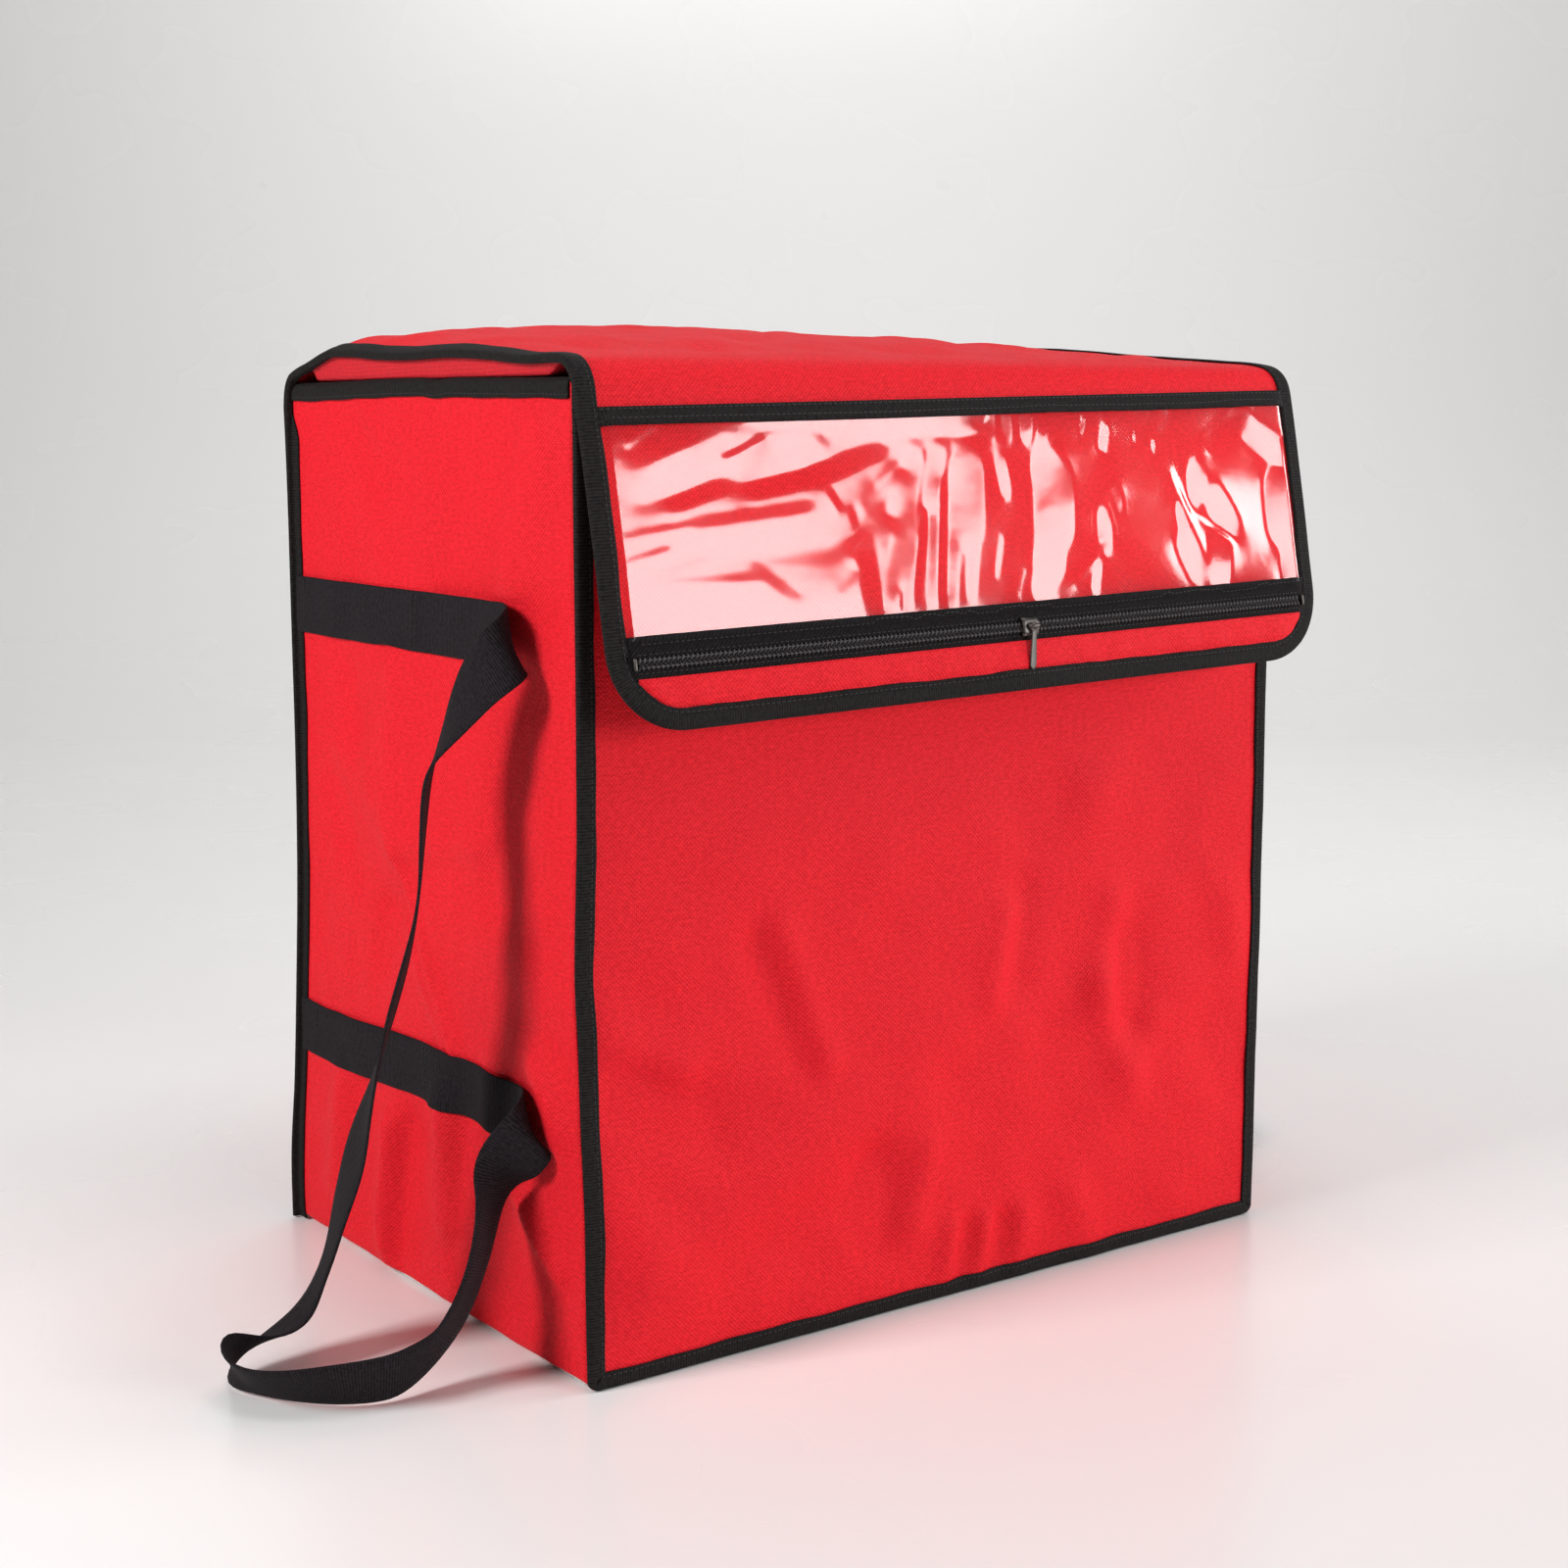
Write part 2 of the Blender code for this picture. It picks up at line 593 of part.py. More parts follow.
def flap(axis):
    """The front flap, which is the lid's cloth going on over the fold."""
    rim = flap_rim(LONG_HALF, FLAP_START, FLAP_FABRIC_DROP, FLAP_CORNER_RADIUS)
    outline = [point for point, _ in rim]
    plate("flap_panel", outline, SHELL_WALL, SHELL_WALL / 2, "red_coated_polyester", axis)
    lining_y = SHELL_WALL + SEAT_GAP + LINING_WALL / 2
    plate("flap_lining", outline, LINING_WALL, lining_y, "red_lining_fabric", axis)
    rows = []
    bound = flap_rim(LONG_HALF, FLAP_BINDING_START, FLAP_FABRIC_DROP, FLAP_CORNER_RADIUS)
    for (x, z), (out_x, out_z) in bound:
        row = []
        for reach, y in (
            (-BINDING_LEG, -SEAT_GAP),
            (SEAT_GAP, -SEAT_GAP),
            (SEAT_GAP, FLAP_STACK + SEAT_GAP),
            (-BINDING_LEG, FLAP_STACK + SEAT_GAP),
        ):
            row.append((x + out_x * reach, y, z + out_z * reach))
        rows.append(row)
    sheet("flap_binding", rows, BINDING_WALL, "black_binding_tape", axis)


def strip_on_flap(name, half, top, width, face, wall, finish, parent, centre=0.0):
    """A straight strip across the flap: its top edge down the flap, and its face off the cloth."""
    low = (centre - half, -face - wall, -top - width)
    high = (centre + half, -face, -top)
    return box(name, low, high, finish, parent)


def pocket_half(drop):
    """Half the width left between the flap's side bindings, at a drop down the flap."""
    into = drop - (FLAP_FABRIC_DROP - FLAP_CORNER_RADIUS)
    if into <= 0.0:
        return POCKET_HALF
    inner = FLAP_CORNER_RADIUS - BINDING_LEG - SEAT_GAP
    return LONG_HALF - FLAP_CORNER_RADIUS + math.sqrt(max(inner**2 - into**2, 0.0))


def pocket_piece(name, top, width, face, wall, finish, parent):
    """A flat piece of the pocket, whose ends follow the flap's side bindings round the corners."""
    steps = FLAP_CORNER_STEPS
    corner = FLAP_FABRIC_DROP - FLAP_CORNER_RADIUS
    first = max(top, min(corner, top + width))
    drops = [first + (top + width - first) * k / steps for k in range(steps + 1)]
    if first > top:
        drops.insert(0, top)
    if corner >= top + width:
        drops = [top, top + width]
    right = [(pocket_half(drop), -drop) for drop in drops]
    left = [(-x, z) for x, z in reversed(right)]
    plate(name, right + left, wall, -face - wall / 2, finish, parent)


def window_pocket(axis):
    """The clear window, the tape over its top edge, and the strip below the zip."""
    window_drop = ZIP_LINE - ZIP_SLIT / 2 - COIL_WIDTH - WINDOW_TAPE_TOP
    pocket_piece(
        "window_sheet", WINDOW_TAPE_TOP, window_drop, SEAT_GAP, WINDOW_WALL, "clear_pvc_sheet", axis
    )
    pocket_piece(
        "window_tape", WINDOW_TAPE_TOP, WINDOW_TAPE_WIDTH, TAPE_FACE, WINDOW_TAPE_WALL,
        "black_binding_tape", axis,
    )
    strip_width = FLAP_FABRIC_DROP - BINDING_LEG - SEAT_GAP - STRIP_TOP
    pocket_piece(
        "pocket_strip", STRIP_TOP, strip_width, STRIP_FACE, STRIP_WALL, "red_coated_polyester", axis
    )


def zip_tapes(axis):
    """Two tapes with a coil each, and a stop at both ends of the coils."""
    upper_tape_top = ZIP_LINE - ZIP_SLIT / 2 - ZIP_TAPE_WIDTH
    upper_coil_top = ZIP_LINE - ZIP_SLIT / 2 - COIL_WIDTH
    lower_top = ZIP_LINE + ZIP_SLIT / 2
    for name, top in (("zip_tape_upper", upper_tape_top), ("zip_tape_lower", lower_top)):
        pocket_piece(name, top, ZIP_TAPE_WIDTH, TAPE_FACE, ZIP_TAPE_WALL, "black_zip_tape", axis)
    stop_half = ZIP_STOP_LENGTH / 2
    stop_middle = pocket_half(ZIP_LINE + ZIP_STOP_WIDTH / 2) - stop_half
    coil_half = stop_middle - stop_half - SEAT_GAP
    for name, top in (("zip_coil_upper", upper_coil_top), ("zip_coil_lower", lower_top)):
        strip_on_flap(name, coil_half, top, COIL_WIDTH, COIL_FACE, COIL_HEIGHT, "black_nylon_coil", axis)
    for name, side in (("zip_stop_left", -1.0), ("zip_stop_right", 1.0)):
        strip_on_flap(
            name, stop_half, ZIP_LINE - ZIP_STOP_WIDTH / 2, ZIP_STOP_WIDTH, COIL_FACE,
            ZIP_STOP_HEIGHT, "nickel_plated_zinc", axis, side * stop_middle,
        )


def closure(flap_axis):
    """Hook tape behind the flap, and loop tape where it meets the front panel."""
    strip_on_flap(
        "hook_tape", CLOSURE_LENGTH / 2, CLOSURE_DROP, CLOSURE_WIDTH,
        -FLAP_STACK - SEAT_GAP - CLOSURE_WALL, CLOSURE_WALL, "black_hook_and_loop", flap_axis,
    )
    top = HINGE_HEIGHT + LID_FRONT_RISE - CLOSURE_DROP
    near = -HALF_DEPTH - SEAT_GAP
    box(
        "loop_tape",
        (-CLOSURE_LENGTH / 2, near - CLOSURE_WALL, top - CLOSURE_WIDTH),
        (CLOSURE_LENGTH / 2, near, top),
        "black_hook_and_loop",
    )


def zip_slider(place_empty):
    """A slider that straddles both coils, with a bar on two posts for its pull."""
    half_band = ZIP_SLIT / 2 + COIL_WIDTH + SLIDER_CLEARANCE
    half_wide = half_band + SLIDER_WALL
    half_long = SLIDER_LENGTH / 2
    under = COIL_TOP + SLIDER_CLEARANCE
    over = under + SLIDER_WALL
    body = box(
        "zip_slider", (-half_long, -over, -half_wide), (half_long, -under, half_wide),
        "nickel_plated_zinc", place_empty,
    )
    foot = -COIL_FACE
    for low_z in (-half_wide, half_band):
        low = (-half_long, -over, low_z)
        high = (half_long, foot, low_z + SLIDER_WALL)
        combine(body, box_mesh("slider_wall", low, high), "UNION")
    bar_y = -over - bail_rise()
    half_span = BAIL_SPAN / 2
    for low_x in (-half_span - BAIL_POST, half_span):
        low = (low_x, bar_y - BAIL_BAR_RADIUS, -BAIL_POST / 2)
        high = (low_x + BAIL_POST, -under, BAIL_POST / 2)
        combine(body, box_mesh("slider_post", low, high), "UNION")
    bar = bar_mesh("slider_bar", BAIL_BAR_RADIUS, half_span + BAIL_POST / 2, (0.0, bar_y, 0.0))
    combine(body, bar, "UNION")
    return bar_y


def bail_rise():
    """The bar's height above the slider, which leaves the pull's knuckle free to turn."""
    return KNUCKLE_RADIUS + KNUCKLE_CLEARANCE


def pull_lean(bar_y):
    """How far the hanging pull leans in, until its tip lies on the strip below the zip."""
    rest_face = STRIP_FACE + STRIP_WALL + SEAT_GAP + PULL_WALL / 2
    return math.asin((-bar_y - rest_face) / (PULL_LENGTH + KNUCKLE_RADIUS))


def zip_pull(axis):
    """A flat pull that hangs from the slider's bar by a knuckle."""
    half_knuckle = BAIL_SPAN / 2 - KNUCKLE_CLEARANCE
    pull = place(
        "zip_pull",
        bar_mesh("zip_pull", KNUCKLE_RADIUS, half_knuckle, (0.0, 0.0, 0.0)),
        "nickel_plated_zinc",
        axis,
    )
    tip = -KNUCKLE_RADIUS - PULL_LENGTH
    blade_low = (-PULL_WIDTH / 2, -PULL_WALL / 2, tip)
    blade_high = (PULL_WIDTH / 2, PULL_WALL / 2, 0.0)
    combine(pull, box_mesh("pull_blade", blade_low, blade_high), "UNION")
    bore = bar_mesh("pull_bore", KNUCKLE_BORE_RADIUS, BAIL_SPAN, (0.0, 0.0, 0.0))
    combine(pull, bore, "DIFFERENCE")
    slot_low = (-PULL_SLOT_WIDTH / 2, -PULL_WIDTH, tip + PULL_SLOT_INSET)
    slot_high = (PULL_SLOT_WIDTH / 2, PULL_WIDTH, tip + PULL_SLOT_INSET + PULL_SLOT_LENGTH)
    combine(pull, box_mesh("pull_slot", slot_low, slot_high), "DIFFERENCE")


def clear_scene():
    for item in list(bpy.data.objects):
        bpy.data.objects.remove(item, do_unlink=True)


def build_bag():
    clear_scene()
    shell()
    insulation()
    lining()
    front_binding()
    back_bindings()
    top_bindings()
    lean_walls()
    stitched_legs()
    handles()
    lid_axis = axis_empty("lid_axis", (0.0, HINGE_Y, HINGE_HEIGHT))
    lid(lid_axis)
    fold = (0.0, -LID_LENGTH, LID_FRONT_RISE)
    flap_axis = axis_empty("flap_axis", fold, lid_axis, -FLAP_TILT, -FLAP_SKEW)
    flap(flap_axis)
    window_pocket(flap_axis)
    zip_tapes(flap_axis)
    closure(flap_axis)
    slider_place = axis_empty("slider_place", (SLIDER_REST, 0.0, -ZIP_LINE), flap_axis)
    bar_y = zip_slider(slider_place)
    pull_axis = axis_empty("pull_axis", (0.0, bar_y, 0.0), slider_place, pull_lean(bar_y))
    zip_pull(pull_axis)


build_bag()
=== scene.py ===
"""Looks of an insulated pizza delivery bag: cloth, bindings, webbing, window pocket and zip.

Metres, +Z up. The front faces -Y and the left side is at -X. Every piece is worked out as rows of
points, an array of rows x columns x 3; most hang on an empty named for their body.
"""

import json
import math

import bmesh
import bpy
import numpy as np
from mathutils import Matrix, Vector
from mathutils.bvhtree import BVHTree


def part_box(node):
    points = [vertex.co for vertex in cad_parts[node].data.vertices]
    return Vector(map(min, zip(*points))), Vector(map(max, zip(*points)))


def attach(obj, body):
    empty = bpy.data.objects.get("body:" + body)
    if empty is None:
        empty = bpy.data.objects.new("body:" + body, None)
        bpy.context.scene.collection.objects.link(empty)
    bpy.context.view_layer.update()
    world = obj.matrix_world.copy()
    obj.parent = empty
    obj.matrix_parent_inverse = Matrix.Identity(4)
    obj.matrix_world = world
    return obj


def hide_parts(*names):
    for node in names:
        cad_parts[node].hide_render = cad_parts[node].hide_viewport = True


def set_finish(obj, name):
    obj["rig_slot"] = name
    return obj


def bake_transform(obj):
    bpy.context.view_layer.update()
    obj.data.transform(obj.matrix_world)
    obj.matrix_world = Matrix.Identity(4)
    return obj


bl_info = {
    "name": "Pizza delivery bag",
    "version": (1, 0, 0),
    "blender": (4, 5, 0),
    "location": "3D View > Sidebar > Delivery bag",
    "description": "Builds the cloth, trims, window pocket and handles of an insulated delivery bag",
    "category": "Add Mesh",
}

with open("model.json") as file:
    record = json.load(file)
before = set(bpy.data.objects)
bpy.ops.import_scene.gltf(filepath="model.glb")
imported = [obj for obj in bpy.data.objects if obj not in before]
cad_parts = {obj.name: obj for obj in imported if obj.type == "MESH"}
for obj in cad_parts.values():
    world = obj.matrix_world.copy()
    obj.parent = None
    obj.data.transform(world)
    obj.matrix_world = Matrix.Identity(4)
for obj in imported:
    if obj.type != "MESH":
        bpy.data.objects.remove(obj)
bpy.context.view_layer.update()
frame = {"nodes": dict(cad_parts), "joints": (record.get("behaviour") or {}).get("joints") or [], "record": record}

MM = 0.001
JOINTS = {joint["name"]: joint for joint in frame["joints"]}
FRONT_FOLD = np.array(JOINTS["flap_hinge"]["pos_m"])
ZIP_DIRECTION = np.array(JOINTS["zip_slide"]["axis"])
PULL_PIVOT = np.array(JOINTS["zip_pull_hinge"]["pos_m"])
STRAP_PIVOT = np.array(JOINTS["left_handle_swing"]["pos_m"])
SIDES = (("left", -1.0), ("right", 1.0))

# Layers, as the frame has them
GAP = 0.0003
SHELL = 0.0012
FOAM = 0.0050
LINING = 0.0008
WALL = SHELL + FOAM + LINING + 2 * GAP

# How far the back's left edge bows forward of its straight lean, by height
BOW = (
    (0.0, 0.038, 0.089, 0.151, 0.211, 0.29, 0.36, 0.44, 0.50),
    (-0.001, -0.002, 0.004, 0.0085, 0.0116, 0.0114, 0.0086, 0.0054, 0.0016),
)
# Sideways wander of the front's left edge, by height
EDGE_WANDER = (
    (0.0, 0.063, 0.138, 0.21, 0.285, 0.34, 0.42, 0.50),
    (0.0012, 0.0007, -0.0007, -0.0030, -0.0007, 0.0, 0.0, 0.0),
)

# The lid's side edges, by y, and its crown between them
LID_EDGE_Y = (-0.165, -0.159, -0.127, -0.088, -0.048, -0.005, 0.029, 0.064, 0.088, 0.1136, 0.140, 0.1525)
LID_LEFT_Z = (0.5115, 0.5122, 0.5123, 0.5150, 0.5165, 0.5160, 0.5168, 0.5188, 0.5188, 0.5130, 0.5057, 0.4985)
LID_RIGHT_Z = (0.5110, 0.5122, 0.5150, 0.5175, 0.5200, 0.5235, 0.5255, 0.5255, 0.5220, 0.5155, 0.5070, 0.4990)
CROWN_ACROSS = (
    (-1.0, -0.93, -0.785, -0.63, -0.48, -0.26, 0.0, 0.17, 0.48, 0.83, 1.0),
    (0.0, 0.0062, 0.0095, 0.0113, 0.0124, 0.0126, 0.0112, 0.0096, 0.0066, 0.0020, 0.0),
)
CROWN_ALONG = (
    (-0.165, -0.145, -0.11, -0.06, 0.0, 0.05, 0.09, 0.12, 0.1475),
    (0.0, 0.22, 0.52, 0.85, 1.0, 1.12, 1.0, 0.55, 0.0),
)

# Folds in millimetres: from (u, v) to (u, v), reach to each side, height (below nought for a hollow)
SIDE_FOLDS = (
    (-106, 350, -88, 245, 13, -1.6),
    (96, 489, 47, 447, 6, -1.5),
    (-87, 472, -64, 412, 20, -2.0),
    (-130, 477, -104, 407, 18, 2.0),
    (-16, 403, -21, 395, 5, -1.5),
    (27, 344, 37, 267, 15, 2.0),
    (93, 338, 89, 317, 9, -1.2),
    (59, 303, 64, 280, 9, 1.2),
    (117, 274, 99, 248, 9, -1.2),
    (43, 214, 52, 190, 8, -1.6),
    (32, 251, -79, 267, 5, 0.8),
    (29, 246, -34, 149, 3, 1.0),
    (20, 210, -21, 152, 3, 0.8),
    (35, 89, 45, 6, 8, 3.0),
    (17, 88, 29, 10, 8, -3.0),
    (-25, 114, -27, 49, 9, 2.0),
    (-55, 127, -38, 41, 11, -2.0),
    (-103, 91, -142, 55, 4, 1.5),
    (-130, 160, -153, 135, 8, 2.0),
    (102, 102, 112, 40, 10, 1.5),
    (83, 95, 83, 42, 10, -1.5),
)
FRONT_FOLDS = (
    (-122, 222, -94, 150, 6, 1.5),
    (-131, 218, -106, 157, 8, -1.5),
    (31, 214, 18, 171, 6, 1.2),
    (45, 223, 39, 179, 8, -1.0),
    (113, 209, 103, 159, 8, 1.5),
    (103, 159, 123, 116, 8, 1.5),
    (129, 184, 130, 138, 12, -1.5),
    (146, 135, 131, 97, 8, 1.2),
    (-2, 40, -5, 13, 5, 1.2),
    (9, 38, 6, 10, 5, -1.2),
    (20, 36, 17, 11, 5, 1.2),
    (34, 36, 31, 11, 5, -1.0),
    (49, 36, 47, 10, 6, 1.2),
    (87, 40, 103, 7, 8, 1.2),
    (-23, 89, -30, 51, 7, 1.2),
    (-57, 90, -57, 40, 8, -1.0),
    (-229, 182, -183, 159, 9, 2.0),
    (-206, 153, -165, 125, 12, -2.0),
    (-230, 92, -207, 67, 12, 1.5),
    (-227, 318, -193, 312, 20, 1.5),
    (-184, 62, 11, 172, 25, 2.0),
    (-153, 55, -70, 71, 15, -1.5),
    (37, 317, 66, 271, 20, -1.5),
    (94, 335, 96, 285, 15, 1.5),
    (157, 296, 162, 256, 18, -1.2),
    (200, 211, 220, 173, 12, 1.0),
    (199, 121, 220, 94, 10, -1.0),
)
BACK_FOLDS = (
    (-150, 430, -60, 300, 22, 2.0),
    (120, 440, 60, 280, 25, -2.0),
    (-40, 180, 30, 60, 20, 2.0),
    (170, 160, 120, 50, 14, 1.6),
    (-180, 120, -120, 60, 12, -1.6),
    (0, 400, 10, 330, 14, 1.2),
)
# Soft light hides low folds, so each is drawn this much higher and wider than its row says
FOLD_DEPTH = 3.2
FOLD_SPREAD = 1.6
# A panel's cloth stands off its wall by this much in the middle, and least of all by this
PILLOW = 3.2 * MM
LEAST_LIFT = 0.1 * MM
# The front's cloth flattens between these heights, to lie flat where the flap presses on it
FLAP_ROOM = (0.245, 0.325)

# The walls' cloth stops this far inside the folded edge of its binding
BINDING_FOOT = 0.0013
# A binding is stitched at this share of its width, and its runs are drawn in steps of this length
SEAM_SHARE = 0.74
BINDING_STEP = 0.003
# Rows of a folded binding's section: on the front face, and down the wall behind
FRONT_LEG = slice(0, 5)
WALL_LEG = slice(-3, None)

# The long piece is parted in two at this y, behind the middle of the lid
LONG_SEAM_Y = 0.118
# The lid's cloth starts and ends at these y, where it bends down to the back and to the flap
LID_BACK_Y = 0.136
LID_FRONT_Y = -0.160
# Rows of the long piece round the flap's lower corners
CORNER_ROWS = 14
# Further grid lines near the lid's sides, from the edge inward, where its lining turns down
PAD_EDGE = (0.0018, 0.0026, 0.0033, 0.0040, 0.0050, 0.0062)

# The foam slabs: y of the front and back ones' faces, and half the length of the side ones
PAD_FACES_Y = (0.1607, 0.1657)
SIDE_PAD_HALF = 0.1604
# The back's foam stops this far short, where the cloth turns over the hinge
BACK_PAD_SHORT = 0.006
# The lid's foam: how far in from the lid's sides, and its y from front to back
LID_PAD_INSET = 0.013
LID_PAD_Y = (-0.138, 0.105)

# The pocket's pieces come down to this lift at their ends, under the flap's binding
END_LIFT = 0.0009
# The strip under the zip starts at this drop
STRIP_TOP = 0.144
TOP_TAPE_WIDTH = 0.0095
POCKET_WALL = 0.0008
# The flat film's height over the cloth, and the most that a crumple reaches
FILM_REST = 0.0032
FILM_MOST = 0.0075

# The zip: its coils' height over the cloth and distance from the middle, and the wire's thickness,
# which is a little more than real so that each turn shows
COIL_LIFT = 0.00265
COIL_APART = 0.00145
COIL_HALF_WIDTH = 0.00125
COIL_HALF_HEIGHT = 0.00055
COIL_WIRE = 0.00044
ZIP_TAPE_WIDTH = 0.013
ZIP_TAPE_WALL = 0.0006

# The hook and loop tapes' thickness, and the hook tape's drops and half length on the flap
HOOK_WALL = 0.0013
HOOK_DROPS = (0.125, 0.150)
HOOK_HALF = 0.1

# The window film's strokes in millimetres on the flap: from (x, down) to (x, down), reach, and
# how firmly the film there leans to the lamp (above nought) or away from it
FILM_STROKES = (
    (-205, 80, -110, 75, 14.0, 0.35),
    (-200, 108, -95, 108, 12.0, 0.3),
    (-236, 40, -190, 30, 10.0, -0.8),
    (-232, 55, -225, 45, 6.0, -0.5),
    (60, 60, 110, 60, 14.0, -0.3),
    (-203, 51, -164, 38, 9.1, 1),
    (-152, 43, -113, 44, 11.9, 1),
    (-215, 57, -191, 48, 5.3, 1),
    (-145, 24, -64, 28, 3.3, 1),
    (-99, 29, -66, 28, 5.3, 1),
    (-60, 23, -18, 25, 2.6, 1),
    (-60, 30, -19, 32, 2.6, 1),
    (-234, 26, -235, 38, 2.6, 1),
    (-234, 42, -223, 31, 1.7, 1),
    (-220, 35, -204, 26, 2.0, 1),
    (-49, 47, -61, 76, 8.6, 1),
    (-31, 44, -40, 75, 6.0, 1),
    (-59, 86, -69, 119, 8.3, 1),
    (-37, 77, -47, 121, 3.3, 1),
    (-74, 57, -51, 42, 1.7, 1),
    (-198, 63, -167, 55, 4.3, -1),
    (-150, 58, -109, 52, 5.0, -1),
    (-109, 52, -69, 41, 6.3, -1),
    (-165, 41, -141, 32, 2.0, -1),
    (-186, 72, -118, 67, 3.6, -0.5),
    (-227, 76, -190, 72, 1.7, -0.5),
    (-230, 89, -204, 83, 2.0, -0.6),
    (-218, 97, -183, 89, 1.5, -0.5),
    (-220, 99, -154, 100, 2.6, -0.5),
    (-153, 96, -132, 113, 4.1, -0.5),
    (-92, 89, -69, 78, 6.3, -1),
    (-85, 92, -85, 121, 6.6, -1),
    (-94, 102, -103, 111, 2.3, -1),
    (-103, 60, -98, 68, 2.2, -1),
    (-91, 71, -90, 75, 2.6, -1),
    (-80, 68, -56, 52, 3.6, -1),
    (-28, 60, -39, 117, 3.3, -1),
    (-43, 74, -56, 117, 2.6, -1),
    (-66, 113, -67, 121, 2.0, -0.8),
    (-23, 24, 6, 25, 3.0, 1),
    (-24, 31, -7, 32, 3.3, 1),
    (8, 23, 5, 36, 2.6, 1),
    (18, 22, 18, 35, 3.3, 1),
    (32, 24, 30, 36, 4.3, 1),
    (46, 23, 39, 39, 3.0, 1),
    (-13, 52, -18, 82, 11.6, 1),
    (-27, 89, -33, 121, 3.6, 1),
    (-13, 87, -20, 118, 3.3, 1),
    (10, 49, 12, 65, 4.0, 1),
    (40, 50, 39, 56, 8.3, 1),
    (45, 58, 43, 85, 13.2, 1),
    (41, 85, 32, 118, 10.3, 1),
    (20, 108, 13, 120, 2.0, 1),
    (90, 69, 90, 79, 4.3, 0.7),
    (78, 81, 78, 94, 5.6, 1),
    (77, 97, 41, 118, 3.3, 1),
    (73, 102, 67, 120, 3.0, 1),
    (75, 103, 55, 117, 2.0, -1),
    (73, 29, 70, 36, 2.0, 1),
    (88, 35, 85, 43, 4.3, 1),
    (122, 24, 114, 30, 2.2, 1),
    (111, 35, 110, 41, 1.3, 1),
    (138, 27, 130, 35, 2.0, 1),
    (125, 42, 124, 46, 1.7, 1),
    (187, 24, 157, 43, 1.5, 1),
    (199, 32, 172, 43, 6.3, 1),
    (204, 40, 230, 52, 9.1, 1),
    (156, 60, 155, 74, 7.0, 1),
    (167, 74, 178, 91, 9.1, 1),
    (139, 79, 142, 98, 3.3, 1),
    (142, 100, 149, 116, 9.1, 1),
    (167, 99, 163, 119, 9.1, 1),
    (139, 61, 151, 89, 2.6, -1),
    (152, 83, 178, 100, 1.3, -1),
    (221, 70, 219, 95, 11.6, 1),
    (225, 94, 222, 123, 7.4, 1),
    (5, 90, -1, 109, 1.3, 1),
    (97, 109, 85, 117, 1.5, 0.7),
)

# The handles' sewn stretches: their heights, how far each drops towards the back, and the y of the
# seam near the back edge
LEG_HEIGHTS = (0.377, 0.132)
LEG_DROPS = (0.0, -0.006)
BACK_SEAM_Y = 0.128
# The stitch line's two seams, behind the line that the loose loop swings about
PIVOT_SEAMS = (0.003, 0.007)
SEAM_HALF = 0.014
# Rows along the webbing are this far apart
STRAP_STEP = 0.004
# The right loop lies further back than the left one and a little closer in, out of the photo's view
RIGHT_LAY_BACK = 0.068
RIGHT_DRAWN_IN = (0.945, 0.95, 1.0)

# The loose strap's middle and the lean of its width, in shares of STRAP_AHEAD forward of the stitch
# line, STRAP_REACH out from the side and the leg's height: forward, out, up, lean x 3
STRAP_AHEAD = 0.125
STRAP_REACH = 0.147
FALL_SHARES = (
    (0.00, 0.000, 1.000, 0.00, 0.00, -1.00),
    (0.30, 0.008, 1.000, 0.00, 0.00, -1.00),
    (0.65, 0.030, 1.000, 0.02, 0.00, -1.00),
    (0.88, 0.070, 1.000, 0.08, -0.08, -1.00),
    (0.98, 0.140, 0.985, 0.32, -0.34, -0.88),
    (0.90, 0.190, 0.960, 0.70, -0.10, -0.70),
    (0.82, 0.210, 0.930, 0.95, -0.05, -0.20),
    (0.75, 0.250, 0.886, 0.97, 0.10, 0.15),
    (0.68, 0.300, 0.835, 0.85, 0.50, 0.15),
    (0.71, 0.350, 0.750, 0.85, 0.52, 0.08),
    (0.75, 0.390, 0.660, 0.88, 0.46, 0.08),
    (0.71, 0.425, 0.580, 0.83, 0.54, 0.10),
    (0.63, 0.460, 0.490, 0.82, 0.56, 0.05),
    (0.55, 0.490, 0.400, 0.88, 0.45, -0.10),
    (0.42, 0.510, 0.300, 0.98, 0.17, 0.00),
    (0.31, 0.535, 0.210, 0.96, 0.27, 0.00),
    (0.24, 0.575, 0.120, 0.92, 0.38, 0.03),
    (0.25, 0.660, 0.070, 0.93, 0.33, 0.00),
    (0.28, 0.800, 0.050, 0.90, 0.30, 0.25),
    (0.31, 0.930, 0.045, 0.70, 0.30, 0.60),
)
